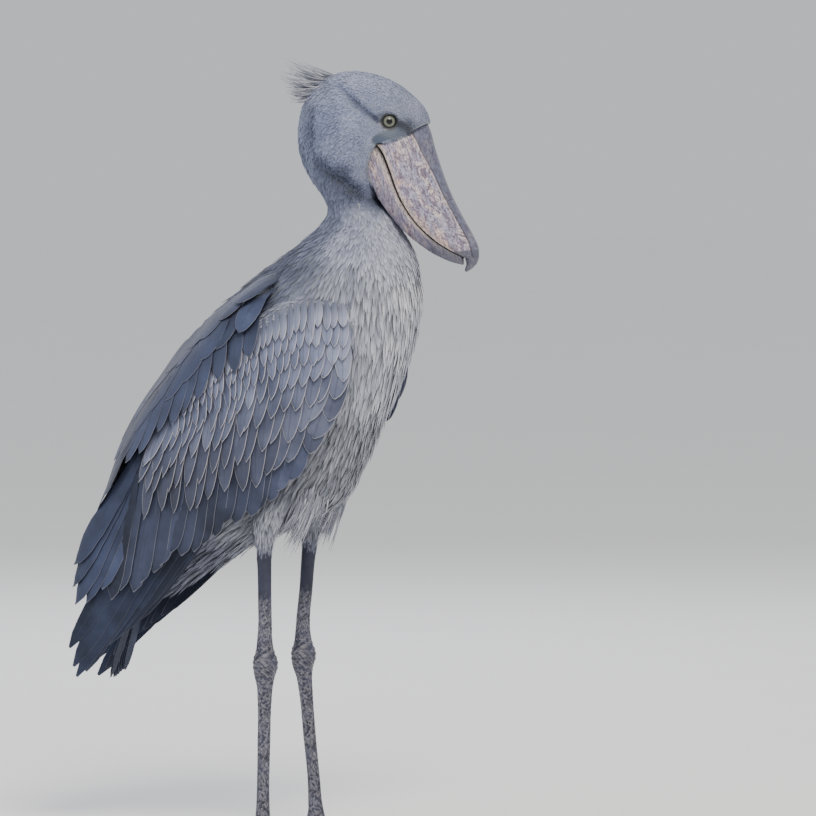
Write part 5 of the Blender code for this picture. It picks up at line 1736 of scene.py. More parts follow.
        placed = add_node(
            tree,
            "GeometryNodeInstanceOnPoints",
            {
                "Points": toned.outputs[0],
                "Instance": self.blade(tree),
                "Rotation": turn.outputs[0],
                "Scale": size.outputs[0],
            },
        )
        real = add_node(tree, "GeometryNodeRealizeInstances", {"Geometry": placed.outputs[0]})
        mark = add_node(tree, "GeometryNodeInputNamedAttribute", {"Name": "blade"}, data_type="FLOAT_VECTOR")
        v = add_node(tree, "ShaderNodeSeparateXYZ", {0: mark.outputs[0]}).outputs["Y"]
        other = add_node(tree, "ShaderNodeMath", {0: 1.0, 1: v}, operation="SUBTRACT")
        hump = add_node(tree, "ShaderNodeMath", {0: v, 1: other.outputs[0]}, operation="MULTIPLY")
        lift = add_node(tree, "ShaderNodeMath", {0: hump.outputs[0], 1: bow.outputs[0]}, operation="MULTIPLY")
        rise = add_node(tree, "ShaderNodeMath", {0: lift.outputs[0], 1: 4.0}, operation="MULTIPLY")
        offset = add_node(
            tree, "ShaderNodeVectorMath", {0: out.outputs[0], "Scale": rise.outputs[0]}, operation="SCALE"
        )
        bent = add_node(
            tree, "GeometryNodeSetPosition", {"Geometry": real.outputs[0], "Offset": offset.outputs[0]}
        )
        painted = add_node(
            tree, "GeometryNodeSetMaterial", {"Geometry": bent.outputs[0], "Material": finish}
        )
        result = tree.nodes.new("NodeGroupOutput")
        tree.links.new(painted.outputs[0], result.inputs[0])
        return tree

    def grow(self, chart: CoatMap, finish: bpy.types.Material) -> bpy.types.Object:
        """Grows the zone's feathers and turns them into one plain mesh.

        Args:
            chart: The skin's growth.
            finish: The feathers' material.

        Returns:
            The finished piece.
        """
        piece = chart.skin.copy()
        piece.data = chart.skin.data.copy()
        piece.data.materials.clear()
        piece.name = f"coat_{self.zone.value}"
        bpy.context.scene.collection.objects.link(piece)
        set_attribute(piece, "cover", chart.cover(self.zone))
        tree = self.tree(finish)
        sizes = {
            "Spacing": self.spacing * MM,
            "Density": 3.0 / (self.spacing * MM) ** 2,
            "Thickness": self.thick * MM,
            "Spread": self.spread,
            "Mottle": self.mottle,
            "Seed": self.seed,
        }
        step = piece.modifiers.new("feathers", "NODES")
        step.node_group = tree
        for socket in tree.interface.items_tree:
            if socket.name in sizes:
                step[socket.identifier] = sizes[socket.name]
        bake(piece)
        self.chart_blades(piece, chart)
        dress(piece, "plumage")
        return piece

    def chart_blades(self, piece: bpy.types.Object, chart: CoatMap) -> None:
        """Gives each feather its barbs, its edge and its patch of the bake map."""
        blade = get_attribute(piece, "blade", 3)
        root = get_attribute(piece, "root", 3) - SHIFT
        wide = get_attribute(piece, "wide", 1)
        length = np.linalg.norm(get_attribute(piece, "reach", 3), axis=1)
        half = wide * blade[:, 2] / MM
        rim = np.minimum((1 - np.abs(blade[:, 0])) * half, (1 - blade[:, 1]) * length / MM)
        first = np.flatnonzero(np.any(np.diff(root, axis=0) != 0, axis=1))
        size = int(first[0]) + 1 if len(first) else len(root)
        starts = root[::size]
        s, angle, _ = chart.locate(starts)
        spots = np.repeat(np.stack([s, angle / math.tau], -1), size, axis=0)[: len(root)]
        patch = np.stack([blade[:, 0] * 0.0015, (blade[:, 1] - 0.5) * 0.003], -1)
        set_attribute(piece, "blade", np.stack([blade[:, 0], blade[:, 1], np.ones(len(blade))], -1))
        set_attribute(piece, "rim", rim)
        luck = np.repeat(seeded(self.seed).random(len(starts)), size)[: len(root)]
        set_attribute(piece, "barb", np.stack([blade[:, 0] * half, blade[:, 1] * length / MM, luck], -1))
        bake_map(piece, spots + patch)
        for name in ("reach", "out", "bow", "wide", "cover", "root"):
            layer = piece.data.attributes.get(name)
            if layer:
                piece.data.attributes.remove(layer)


def bake_map(piece: bpy.types.Object, spots: np.ndarray) -> None:
    """Writes the bake map from one place for each vertex."""
    for layer in list(piece.data.uv_layers):
        piece.data.uv_layers.remove(layer)
    layer = piece.data.uv_layers.new(name="OFBake")
    corners = np.empty(len(piece.data.loops), np.int32)
    piece.data.loops.foreach_get("vertex_index", corners)
    layer.data.foreach_set("uv", np.clip(spots, 0, 1)[corners].astype(np.float32).ravel())


# The large feathers


class Fit(Enum):
    """How a large feather lies."""

    CLOSE = "on the wing's outer form"
    BLADED = "flat in the closed wing tip"
    OVER = "from the back out over the wing"


@dataclass(frozen=True)
class Tier:
    """A row of large feathers, from the wrist backwards, in millimetres of the side view."""

    name: str
    roots: tuple
    tips: tuple
    count: int
    width: float
    fit: Fit = Fit.CLOSE
    root_lift: float = -5.0
    tip_lift: float = 6.0
    lean: float = 1.8
    stack: float = 0.2
    blunt: float = 0.5
    point: float = 0.5
    tone: float = 0.4
    hue: float = 0.2
    ragged: float = 0.01
    end_width: float = 1.0
    rows: int = 14
    edging: float = 1.0


BLADE_TIP = (-310, 224)
BLADE_WAY = (0.615, 0.788)
BLADE_TIP_Y = 29.0
BLADE_SLOPE = 0.2
BLADE_BOW = -4.0
BLADE_LENGTH = 410.0

TIERS = [
    Tier(
        "primary",
        ((50, 612), (16, 600), (-30, 585), (-80, 566), (-106, 556)),
        ((-212, 310), (-252, 284), (-290, 252), (-310, 224), (-320, 264)),
        10, 32, Fit.BLADED, 0.0, 0.0, 0.0, 1.05, 0.35, 0.5, 0.02, 0.0, 0.01, edging=0.12,
    ),
    Tier(
        "secondary",
        ((98, 656), (48, 644), (-45, 620), (-135, 583), (-184, 572)),
        ((50, 524), (30, 505), (-4, 483), (-71, 441), (-144, 408), (-212, 366), (-247, 351)),
        18, 31, Fit.CLOSE, -7.0, 2.4, 2.0, 0.22, 0.22, 0.5, 0.11, 0.25, 0.012, edging=0.45,
    ),
    Tier(
        "tertial",
        ((-136, 624), (-150, 612), (-163, 596), (-176, 576)),
        ((-262, 356), (-284, 334), (-304, 332), (-306, 392)),
        5, 34, Fit.CLOSE, -9.0, 7.0, 1.6, 1.3, 0.3, 0.5, 0.11, 0.1, 0.03, edging=0.25,
    ),
    Tier(
        "greater_covert",
        ((132, 690), (40, 672), (-53, 640), (-128, 610), (-150, 600)),
        ((98, 578), (62, 556), (22, 532), (-30, 508), (-84, 488), (-128, 476), (-172, 470)),
        14, 37, Fit.CLOSE, -4.5, 5.2, 2.2, 0.12, 0.45, 0.58, 0.16, 0.4, 0.01, 0.62, edging=0.6,
    ),
    Tier(
        "lower_median_covert",
        ((140, 706), (46, 694), (-42, 660), (-118, 624), (-150, 606)),
        ((112, 612), (62, 590), (-8, 554), (-72, 528), (-130, 508), (-176, 498)),
        16, 30, Fit.CLOSE, -4.5, 6.0, 2.0, 0.1, 0.5, 0.6, 0.24, 0.42, 0.01, 0.68, 12, 0.75,
    ),
    Tier(
        "median_covert",
        ((142, 724), (48, 714), (-38, 678), (-112, 638), (-146, 614)),
        ((126, 648), (62, 628), (-9, 592), (-69, 564), (-130, 540), (-178, 522)),
        18, 27, Fit.CLOSE, -4.5, 6.4, 1.9, 0.08, 0.5, 0.6, 0.31, 0.35, 0.01, 0.74, 10, 0.9,
    ),
    Tier(
        "upper_median_covert",
        ((142, 742), (60, 738), (-26, 702), (-102, 654), (-140, 622)),
        ((134, 676), (66, 660), (-4, 622), (-66, 592), (-126, 562), (-170, 540)),
        20, 22, Fit.CLOSE, -4.5, 6.7, 1.8, 0.07, 0.5, 0.6, 0.36, 0.3, 0.01, 0.8, 9,
    ),
    Tier(
        "lower_lesser_covert",
        ((142, 756), (70, 758), (-10, 722), (-84, 676), (-126, 640)),
        ((139, 700), (72, 690), (6, 654), (-58, 618), (-114, 586)),
        22, 18.5, Fit.CLOSE, -4.5, 7.0, 1.6, 0.06, 0.52, 0.6, 0.38, 0.25, 0.01, 0.85, 8,
    ),
    Tier(
        "lesser_covert",
        ((140, 770), (84, 774), (6, 740), (-66, 696), (-110, 660)),
        ((142, 722), (80, 716), (16, 684), (-46, 646), (-98, 612)),
        23, 16, Fit.CLOSE, -4.5, 7.2, 1.5, 0.06, 0.55, 0.62, 0.42, 0.25, 0.01, 0.9, 8,
    ),
    Tier(
        "upper_lesser_covert",
        ((136, 782), (90, 788), (22, 760), (-44, 718), (-92, 680)),
        ((140, 744), (88, 740), (28, 712), (-32, 672), (-82, 636)),
        24, 14, Fit.CLOSE, -4.5, 7.4, 1.4, 0.05, 0.55, 0.62, 0.46, 0.4, 0.01, 0.95, 7,
    ),
    Tier(
        "lower_scapular",
        ((-8, 792), (-44, 768), (-82, 740), (-122, 706), (-160, 666)),
        ((6, 702), (-34, 672), (-78, 636), (-121, 604), (-172, 568), (-222, 528)),
        10, 30, Fit.OVER, 6.0, 8.4, 1.4, 0.4, 0.5, 0.56, 0.18, 0.05, 0.01, edging=0.2,
    ),
    Tier(
        "scapular",
        ((6, 808), (-28, 786), (-66, 760), (-107, 728), (-146, 688), (-176, 640)),
        ((-14, 738), (-62, 700), (-109, 656), (-160, 618), (-212, 572), (-252, 510), (-272, 462)),
        11, 33, Fit.OVER, 7.0, 9.6, 1.3, 0.35, 0.5, 0.54, 0.17, 0.02, 0.01, edging=0.2,
    ),
    Tier(
        "upper_scapular",
        ((16, 822), (-20, 804), (-60, 780), (-101, 746), (-142, 706), (-180, 660)),
        ((-30, 770), (-78, 734), (-125, 694), (-176, 652), (-222, 600), (-256, 544)),
        11, 28, Fit.OVER, 7.0, 10.0, 1.2, 0.3, 0.5, 0.54, 0.18, 0.02, 0.01, 1.0, 10, 0.2,
    ),
]

# Where the columns of a large feather lie, closer at the shaft.
COLUMNS = np.array([-1.0, -0.86, -0.55, -0.2, -0.06, 0.0, 0.06, 0.2, 0.55, 0.86, 1.0])


def vane_width(share: np.ndarray, blunt: float, point: float) -> np.ndarray:
    """The half width of a vane at a share of its length, next to its greatest."""
    swell = 0.42 + 0.58 * np.sin(np.minimum(share / 0.55, 1.0) * math.pi / 2)
    close = np.maximum(0.0, (share - (1 - blunt)) / blunt)
    return swell * np.maximum(0.0, 1 - 0.985 * close**2) ** point


class VaneSet:
    """Gathers large feathers into one closed mesh with its attributes."""

    def __init__(self) -> None:
        """Starts with nothing."""
        self.points: list[np.ndarray] = []
        self.faces: list[np.ndarray] = []
        self.marks: list[np.ndarray] = []
        self.cells: list[np.ndarray] = []
        self.count = 0

    def add(self, top: np.ndarray, low: np.ndarray, half: np.ndarray, shares: np.ndarray,
            columns: np.ndarray, length: float, tone: float, hue: float, luck: float,
            edging: float = 1.0) -> None:
        """Adds one feather.

        Args:
            top: Its outer face, rows by columns of points.
            low: Its inner face.
            half: Its half width at each row, in metres.
            shares: The share of the length at each row.
            columns: The place across at each column, -1 to 1.
            length: Its length in metres.
            tone: Dark to pale.
            hue: Blue to neutral.
            luck: A number of its own.
            edging: How pale its edge is, from 0 to 1.
        """
        rows, wide = top.shape[:2]
        base = self.count
        number = np.arange(rows * wide).reshape(rows, wide)
        a, b = number[:-1, :-1].ravel(), number[:-1, 1:].ravel()
        c, d = number[1:, 1:].ravel(), number[1:, :-1].ravel()
        low_at = rows * wide
        faces = [np.stack([a, b, c, d], -1), np.stack([a, d, c, b], -1) + low_at]
        rim = np.array(rim_pairs(rows, wide))
        faces.append(np.stack([rim[:, 1], rim[:, 0], rim[:, 0] + low_at, rim[:, 1] + low_at], -1))
        faces = np.concatenate(faces)
        i, j = rows // 2, wide // 2
        normal = np.cross(top[i, j + 1] - top[i, j], top[i + 1, j] - top[i, j])
        if np.dot(normal, top[i, j] - low[i, j]) < 0:
            faces = faces[:, ::-1]
        self.points += [top.reshape(-1, 3), low.reshape(-1, 3)]
        self.faces.append(faces + base)
        v, w = np.meshgrid(shares, columns, indexing="ij")
        wide_at = np.broadcast_to(half[:, None], v.shape) / MM
        rims = np.minimum((1 - np.abs(w)) * wide_at, (1 - v) * length / MM)
        mark = np.stack(
            [w, v, np.full(v.shape, edging), rims, w * wide_at, v * length / MM, np.full(v.shape, luck),
             np.full(v.shape, tone), np.full(v.shape, hue)],
            -1,
        ).reshape(-1, 9)
        self.marks += [mark, mark]
        for face in (0, 1):
            cell = np.stack([(w.ravel() + 1) / 2 * 0.42 + 0.04 + 0.5 * face, v.ravel() * 0.9 + 0.05], -1)
            self.cells.append(cell)
        self.count += 2 * rows * wide

    def finish(self, name: str, finish: bpy.types.Material, slot: str, *nodes: str) -> bpy.types.Object:
        """Makes the piece."""
        made = mesh_object(name, np.concatenate(self.points), np.concatenate(self.faces))
        marks = np.concatenate(self.marks)
        set_attribute(made, "blade", marks[:, 0:3])
        set_attribute(made, "rim", marks[:, 3])
        set_attribute(made, "barb", marks[:, 4:7])
        set_attribute(made, "tone", marks[:, 7])
        set_attribute(made, "hue", marks[:, 8])
        vanes = len(self.cells) // 2
        across = math.ceil(math.sqrt(vanes))
        spots = []
        for i, cell in enumerate(self.cells):
            corner = np.array([(i // 2) % across, (i // 2) // across])
            spots.append((cell + corner) / across)
        bake_map(made, np.concatenate(spots))
        made.data.materials.append(finish)
        dress(made, slot, *nodes)
        return made


@dataclass
class Wing:
    """A folded wing's large feathers, in tiers over each other."""

    side: int
    word: str
    thick: float = 0.7
    shaft: float = 0.35
    hidden_share: float = 0.3
    buried: float = 5.0
    lift_power: float = 1.2

    def place(self, tier: Tier, x: np.ndarray, z: np.ndarray, v: np.ndarray, lift: np.ndarray,
              tuck: float) -> np.ndarray:
        """Points of a feather.

        Args:
            tier: Its row.
            x: Places in the side view.
            z: Places in the side view.
            v: The share of its length at each.
            lift: How far each stands off its form.
            tuck: How fully it keeps to the body's form.

        Returns:
            The points, in metres.
        """
        if tier.fit is Fit.BLADED:
            reach = (x - BLADE_TIP[0] * MM) * BLADE_WAY[0] + (z - BLADE_TIP[1] * MM) * BLADE_WAY[1]
            bow = BLADE_BOW * MM * np.sin(math.pi * reach / (BLADE_LENGTH * MM))
            y = BLADE_TIP_Y * MM + BLADE_SLOPE * reach + bow + lift
            return np.stack([x, self.side * y, z], -1)
        over = WING.beside(x, z, lift, self.side)
        if tier.fit is Fit.CLOSE:
            return over
        under = BODY.beside(x, z, -self.buried * MM, self.side)
        on_back = BODY.beside(x, z, lift * 0.3, self.side)
        out = soft_step(WING.locate(x, z)[1], 0.4, 0.95)[..., None] * (1 - 0.85 * tuck * (1 - v[..., None]) ** 2)
        over = on_back * (1 - out) + over * out
        mix = soft_step(v, 0.0, self.hidden_share)[..., None]
        return under * (1 - mix) + over * mix

    def feather(self, vanes: VaneSet, tier: Tier, number: int, luck: np.random.Generator) -> None:
        """Adds one feather of a tier."""
        share = number / (tier.count - 1)
        sway = luck.normal(0, 1, 4)
        root = along(tier.roots, share) * MM
        tip = along(tier.tips, share) + np.array([0.13, 0.15]) * tier.width * sway[:2]
        if self.side > 0 and tier.fit is Fit.CLOSE:
            tip[1] += 0.26 * (along(tier.roots, share)[1] - tip[1]) * math.exp(-share / 0.12)
        tip = tip * MM
        width = tier.width * (1 + (tier.end_width - 1) * share) * (1 + 0.05 * sway[2]) * MM
        shares = np.linspace(0, 1, tier.rows + 1) ** 0.85
        run = tip - root
        length = float(np.linalg.norm(run))
        across = np.array([-run[1], run[0]]) / length
        half = width / 2 * vane_width(shares, tier.blunt, tier.point)
        half[-1] = max(half[-1], 0.0004)
        v, w = np.meshgrid(shares, COLUMNS, indexing="ij")
        nicks = 1 + tier.ragged * luck.normal(0, 1, (len(shares), 2))
        edge = np.where(w < 0, nicks[:, :1], nicks[:, 1:])
        aside = half[:, None] * w * np.where(np.abs(w) > 0.8, edge, 1.0)
        bend = 0.02 * length * np.sin(math.pi * v) * sway[3] * 0.5
        x = root[0] + run[0] * v + across[0] * (aside + bend)
        z = root[1] + run[1] * v + across[1] * (aside + bend)
        rise = tier.root_lift + (tier.tip_lift - tier.root_lift) * v**self.lift_power
        rise = rise + tier.lean * w + tier.stack * number - 0.5 * w**2
        tuck = math.exp(-((share / 0.13) ** 2))
        if tier.fit is Fit.OVER:
            rise = rise - 10.0 * tuck * (1 - v) ** 1.5
        shaft = self.shaft * np.exp(-((w / 0.07) ** 2)) * (1 - 0.6 * v)
        body = self.thick / 2 * (1 - 0.75 * w**2)
        top = self.place(tier, x, z, v, (rise + body + shaft) * MM, tuck)
        low = self.place(tier, x, z, v, (rise - body) * MM, tuck)
        tone = tier.tone + 0.03 * sway[2] + 0.08 * (luck.random() - 0.5)
        if tier.fit is Fit.CLOSE:
            tone += 0.12 * math.exp(-share / 0.25)
        vanes.add(top, low, half, shares, COLUMNS, length, tone, tier.hue, luck.random(), tier.edging)

    def build(self, finish: bpy.types.Material, flight_finish: bpy.types.Material) -> None:
        """Makes the wing."""
        luck = seeded(40 + self.side)
        flight, coverts = VaneSet(), VaneSet()
        for tier in TIERS:
            chosen = flight if tier.name in ("primary", "secondary", "tertial") else coverts
            for number in range(tier.count):
                self.feather(chosen, tier, number, luck)
        flight.finish(f"flight_feathers_{self.word}", flight_finish, "flight_feathers", f"wing_{self.word}")
        coverts.finish(f"coverts_{self.word}", finish, "plumage", f"wing_{self.word}")


@dataclass
class Tail:
    """The closed tail, its feathers fanned over each other."""

    root: tuple = (-226, 376)
    tip: tuple = (-282, 226)
    pairs: int = 6
    width: float = 26.0
    spread: float = 17.0

    def build(self, finish: bpy.types.Material) -> None:
        """Makes the tail."""
        luck = seeded(71)
        vanes = VaneSet()
        root, tip = np.array(self.root, float), np.array(self.tip, float)
        length = float(np.linalg.norm(tip - root))
        run = (tip - root) / length
        under = np.array([-run[1], run[0]])
        shares = np.linspace(0, 1, 16)
        for side in (-1, 1):
            for pair in range(self.pairs):
                share = pair / (self.pairs - 1)
                reach = length * (1 - 0.09 * share) * (1 + 0.01 * luck.normal())
                sink = 1.4 * pair + (0.7 if side > 0 else 0.0)
                v, w = np.meshgrid(shares, COLUMNS, indexing="ij")
                middle = root + run * (reach * v)[..., None]
                deep = (8 + sink) * (0.4 + 0.6 * v) + 0.5 * w**2
                half = self.width / 2 * vane_width(shares, 0.25, 0.5)
                y = side * (5 + self.spread * share * (0.35 + 0.65 * v)) + half[:, None] * w
                body = 0.35 * (1 - 0.75 * w**2)
                faces = []
                for sign in (-1, 1):
                    flat = middle + under * (deep + sign * body)[..., None]
                    faces.append(np.stack([flat[..., 0], y, flat[..., 1]], -1) * MM)
                tone = 0.08 + 0.02 * luck.normal()
                vanes.add(faces[0], faces[1], half * MM, shares, COLUMNS, reach * MM, tone, 0.05, luck.random(), 0.1)
        vanes.finish("tail_feathers", finish, "flight_feathers", "tail")


@dataclass(frozen=True)
class Plume:
    """A hanging tuft: where it starts and ends in the side view, and its place aside."""

    root: tuple
    tip: tuple
    aside: float
    root_spread: float = 9.0
    tip_spread: float = 6.0
    count: int = 60


@dataclass
class Strands:
    """Narrow loose feathers: the crest and the tufts that hang from the belly."""

    crest_roots: tuple = ((88, 1103), (68, 1094), (50, 1076))
    crest_tips: tuple = ((8, 1134), (-3, 1119), (-6, 1098), (4, 1066))
    crest_count: int = 130
    plumes: tuple = (
        Plume((68, 512), (32, 424), 60, 7, 6, 90),
        Plume((74, 520), (58, 462), 40, 6, 6, 60),
        Plume((60, 504), (30, 440), 66, 7, 8, 60),
        Plume((54, 502), (24, 446), 50, 8, 9, 60),
    )

    def strand(self, vanes: VaneSet, root: np.ndarray, tip: np.ndarray, width: float, bow: np.ndarray,
               flat: np.ndarray, tone: float, hue: float, luck: float) -> None:
        """Adds one strand from root to tip.

        Args:
            vanes: The set it joins.
            root: Its root, in metres.
            tip: Its tip.
            width: Its width.
            bow: How its middle moves aside.
            flat: The way its flat side faces.
            tone: Dark to pale.
            hue: Blue to neutral.
            luck: A number of its own.
        """
        shares = np.linspace(0, 1, 8)
        columns = np.array([-1.0, 0.0, 1.0])
        run = tip - root
        length = float(np.linalg.norm(run))
        across = unit(np.cross(run, flat))
        out = unit(np.cross(across, run))
        half = width / 2 * (0.35 + 0.65 * np.sin(math.pi * np.minimum(shares / 0.9, 1) ** 0.8)) * (1 - 0.8 * shares**3)
        v, w = np.meshgrid(shares, columns, indexing="ij")
        base = root + run * v[..., None] + bow * (4 * v * (1 - v))[..., None]
        base = base + across * (half[:, None] * w)[..., None]
        body = 0.22 * MM * (1.25 - w**2)
        top = base + out * body[..., None]
        low = base - out * body[..., None]
        vanes.add(top, low, half, shares, columns, length, tone, hue, luck)

    def build(self, finish: bpy.types.Material) -> None:
        """Makes the crest and the belly tufts."""
        luck = seeded(5)
        crest = VaneSet()
        for i in range(self.crest_count):
            share = luck.random()
            aside = luck.normal(0, 6.5)
            root = along(self.crest_roots, share) + luck.normal(0, 1.5, 2)
            tip = along(self.crest_tips, np.clip(share + luck.normal(0, 0.12), 0, 1))
            tip = root + (tip - root) * (0.5 + (0.55 - 0.2 * share) * luck.random() ** 0.6)
            ends = np.array([(root[0], aside, root[1]), (tip[0], aside * 1.7 + luck.normal(0, 2), tip[1])])
            ends = turned(ends * MM)
            bow = np.array([0.0, luck.normal(0, 2), luck.normal(-4.0, 2.5)]) * MM
            flat = np.array([0.1, 1.0, 0.3]) + luck.normal(0, 0.4, 3)
            tone = 0.53 + 0.12 * luck.normal()
            self.strand(crest, ends[0], ends[1], luck.uniform(1.2, 2.5) * MM, bow, flat, tone, 0.85, luck.random())
        crest.finish("crest", finish, "plumage", "head")
        tufts = VaneSet()
        for side, _ in SIDES:
            for plume in self.plumes:
                for _ in range(plume.count):
                    shift = np.clip(luck.normal(0, 1, 3), -1.5, 1.5) * plume.root_spread
                    root = np.array([plume.root[0], side * plume.aside, plume.root[1]]) + shift
                    end = luck.normal(0, 1, 3) * plume.tip_spread
                    tip = np.array([plume.tip[0], side * plume.aside, plume.tip[1]]) + end
                    tip = root + (tip - root) * luck.uniform(0.7, 1.02)
                    bow = np.array([2.0, luck.normal(0, 3), -2.0]) * MM
                    flat = np.array([0.4, side, 0.0]) + luck.normal(0, 0.5, 3)
                    tone = 0.66 + 0.1 * luck.normal()
                    self.strand(tufts, root * MM, tip * MM, luck.uniform(2.0, 4.0) * MM, bow, flat, tone, 0.8,
                                luck.random())
        tufts.finish("belly_tufts", finish, "plumage", "torso")


# Eyes, legs and feet


@dataclass
class Eye:
    """One eyeball in its lids."""

    side: int
    word: str

    def build(self, finish: bpy.types.Material) -> None:
        """Makes the eyeball, charted round the way it looks."""
        made = ball(f"eyeball_{self.word}", eye_place(self.side), EYE_RADIUS, 96, 64)
        outward, ahead, up = eye_axes(self.side)
        gaze = unit(points_of(made) - eye_place(self.side))
        off = np.arccos(np.clip(gaze @ outward, -1, 1))
        round_it = np.arctan2(gaze @ up, gaze @ ahead)
        set_attribute(made, "polar", np.stack([off, round_it, np.zeros(len(off))], -1))
        made.data.materials.append(finish)
        dress(made, "eye", f"eye_{self.word}")


@dataclass(frozen=True)
class Toe:
    """A toe: outward angle in degrees, lengths and radius in millimetres, and its pads."""

    name: str
    angle: float
    length: float
    radius: float
    pads: int
    claw: float


@dataclass
class Leg:
    """A bare leg with knobbly ankle, scaled shank and long toes."""

    side: int
    word: str
    thigh_x: float
    ankle_x: float
    foot_x: float
    leg_y: float = 80.0
    ankle_z: float = 250.0
    scale_size: float = 3.3
    scale_height: float = 0.42
    hub_radius: float = 19.0
    hub_inner: float = 16.0
    crowding: float = 0.25
    toes: tuple = (
        Toe("inner", -31.0, 108.0, 7.0, 3, 19.0),
        Toe("middle", 1.0, 148.0, 7.8, 4, 20.0),
        Toe("outer", 33.0, 120.0, 6.8, 5, 17.0),
        Toe("hind", 167.0, 58.0, 6.6, 2, 22.0),
    )

    def scales(self, around: np.ndarray, up: np.ndarray) -> np.ndarray:
        """The height, 0 to 1, of close-set six-sided scales over a flat chart in millimetres."""
        size = self.scale_size
        best = np.full(np.broadcast(around, up).shape, 9.0)
        tall = np.ones(best.shape)
        for shift in (0.0, 0.5):
            row = np.round(up / (size * 1.7) - shift) + shift
            column = np.round(around / size - shift) + shift
            luck = np.abs(np.sin(row * 12.99 + column * 78.23) * 437.58) % 1.0
            shove = size * 0.5 * (luck - 0.5)
            away = np.hypot(around - column * size - shove, (up - row * size * 1.7 + shove) * 0.85)
            tall = np.where(away < best, 0.35 + 0.65 * luck, tall)
            best = np.minimum(best, away)
        return np.clip(1.25 - (best / (size * 0.56)) ** 2, 0, 1) * tall

    def table(self) -> list[tuple[float, float, float, float, float]]:
        """Rows of x, y, z, fore and side radius down the leg."""
        y = self.side * self.leg_y
        hip, ankle, foot = self.thigh_x, self.ankle_x, self.foot_x
        mid = hip + (ankle - hip) * 0.6
        low = ankle + (foot - ankle) * 0.85
        return [
            (hip + 1, y, 436, 8.5, 8.0),
            (hip, y, 421, 10.2, 9.6),
            (hip + (mid - hip) * 0.5, y, 388, 10.0, 9.2),
            (mid, y, 350, 9.6, 8.8),
            (ankle, y, 312, 9.9, 9.0),
            (ankle - 0.5, y, 292, 11.0, 10.0),
            (ankle, y, 276, 13.6, 11.8),
            (ankle + 0.5, y, 262, 18.4, 14.4),
            (ankle + 0.5, y, 252, 18.2, 14.4),
            (ankle - 0.5, y, 242, 15.6, 12.6),
            (ankle + (foot - ankle) * 0.08, y, 226, 11.8, 10.0),
            (ankle + (foot - ankle) * 0.2, y, 205, 10.2, 8.6),
            (ankle + (foot - ankle) * 0.5, y, 140, 9.2, 7.9),
            (low, y, 70, 9.2, 8.0),
            (low + (foot - low) * 0.5, y, 45, 10.0, 9.4),
            (foot, y, 28, 11.6, 11.6),
            (foot, y, 14, 15.4, 15.4),
            (foot, y, 6, 17.4, 17.4),
            (foot, y, 0.4, 16.6, 16.6),
        ]

    def build_shaft(self, finish: bpy.types.Material) -> None:
        """Makes shank and tarsus as one scaled skin."""
        rings = np.array(round_rings(self.table(), 280, 44))
        centre = rings.mean(axis=1, keepdims=True)
        out = rings - centre
        radius = np.linalg.norm(out, axis=2) / MM
        angles = np.linspace(0, math.tau, 44, endpoint=False)[None, :]
        height = rings[:, :, 2] / MM
        columns = 18
        around = angles / math.tau * columns * self.scale_size
        drift = 1.3 * np.sin(height * 0.21 + 2 * np.sin(angles)) + 0.8 * np.sin(angles * 2 + height * 0.09)
        relief = self.scales(around + drift, height + 1.6 * np.sin(angles * 3 + height * 0.05))
        relief = relief * (1 - 0.8 * soft_step(height, 335, 375))
        folds = np.exp(-(((height - 262) / 18) ** 2)) * 0.6 * np.sin(height * 0.8 + 1.4 * np.sin(angles * 2))
        knob = np.exp(-(((height - 256) / 12) ** 2)) * 1.2 * (np.abs(np.sin(angles)) ** 2 - 0.3)
        fade = soft_step(height, 2.0, 14.0)
        grown = radius + (self.scale_height * relief + folds + knob) * fade
        rings = centre + unit(out) * (grown * MM)[..., None]
        made = loft(f"leg_{self.word}", list(rings))
        set_attribute(made, "height", np.concatenate([relief.ravel(), [0.0, 0.0]]))
        made.data.materials.append(finish)
        dress(made, "leg_skin", f"shank_{self.word}", f"tarsus_{self.word}")

    def toe_rings(self, toe: Toe, start: np.ndarray, way: np.ndarray) -> tuple[list[np.ndarray], list[np.ndarray]]:
        """Rings of a toe, flat on the floor, with pads below and plates above."""
        across = np.array([-way[1], way[0], 0.0])
        rings, heights = [], []
        sides, steps = 28, 90
        angles = np.linspace(0, math.tau, sides, endpoint=False)
        for i in range(steps + 1):
            share = i / steps
            radius = toe.radius * (1 - 0.42 * share)
            radius *= 1 - 0.13 * (0.5 + 0.5 * math.cos(math.tau * share * toe.pads))
            reach = self.hub_inner + toe.length * share
            radius = min(radius, self.crowding * reach)
            spot = start + way * toe.length * share
            plate = abs(math.sin(math.pi * toe.length * share / 4.2)) ** 0.4
            on_top = np.clip(np.sin(angles), 0, 1) ** 0.6
            relief = plate * on_top
            tall = 1.75 * radius
            size = 1 + 0.07 * relief
            up = tall / 2 + tall * 0.56 * np.sin(angles) * size
            ring = spot + across * (radius * np.cos(angles) * size)[:, None]
            ring = ring + np.stack([np.zeros(sides), np.zeros(sides), np.maximum(0.15, up)], -1)
            rings.append(ring * MM)
            heights.append(relief)
        return rings, heights

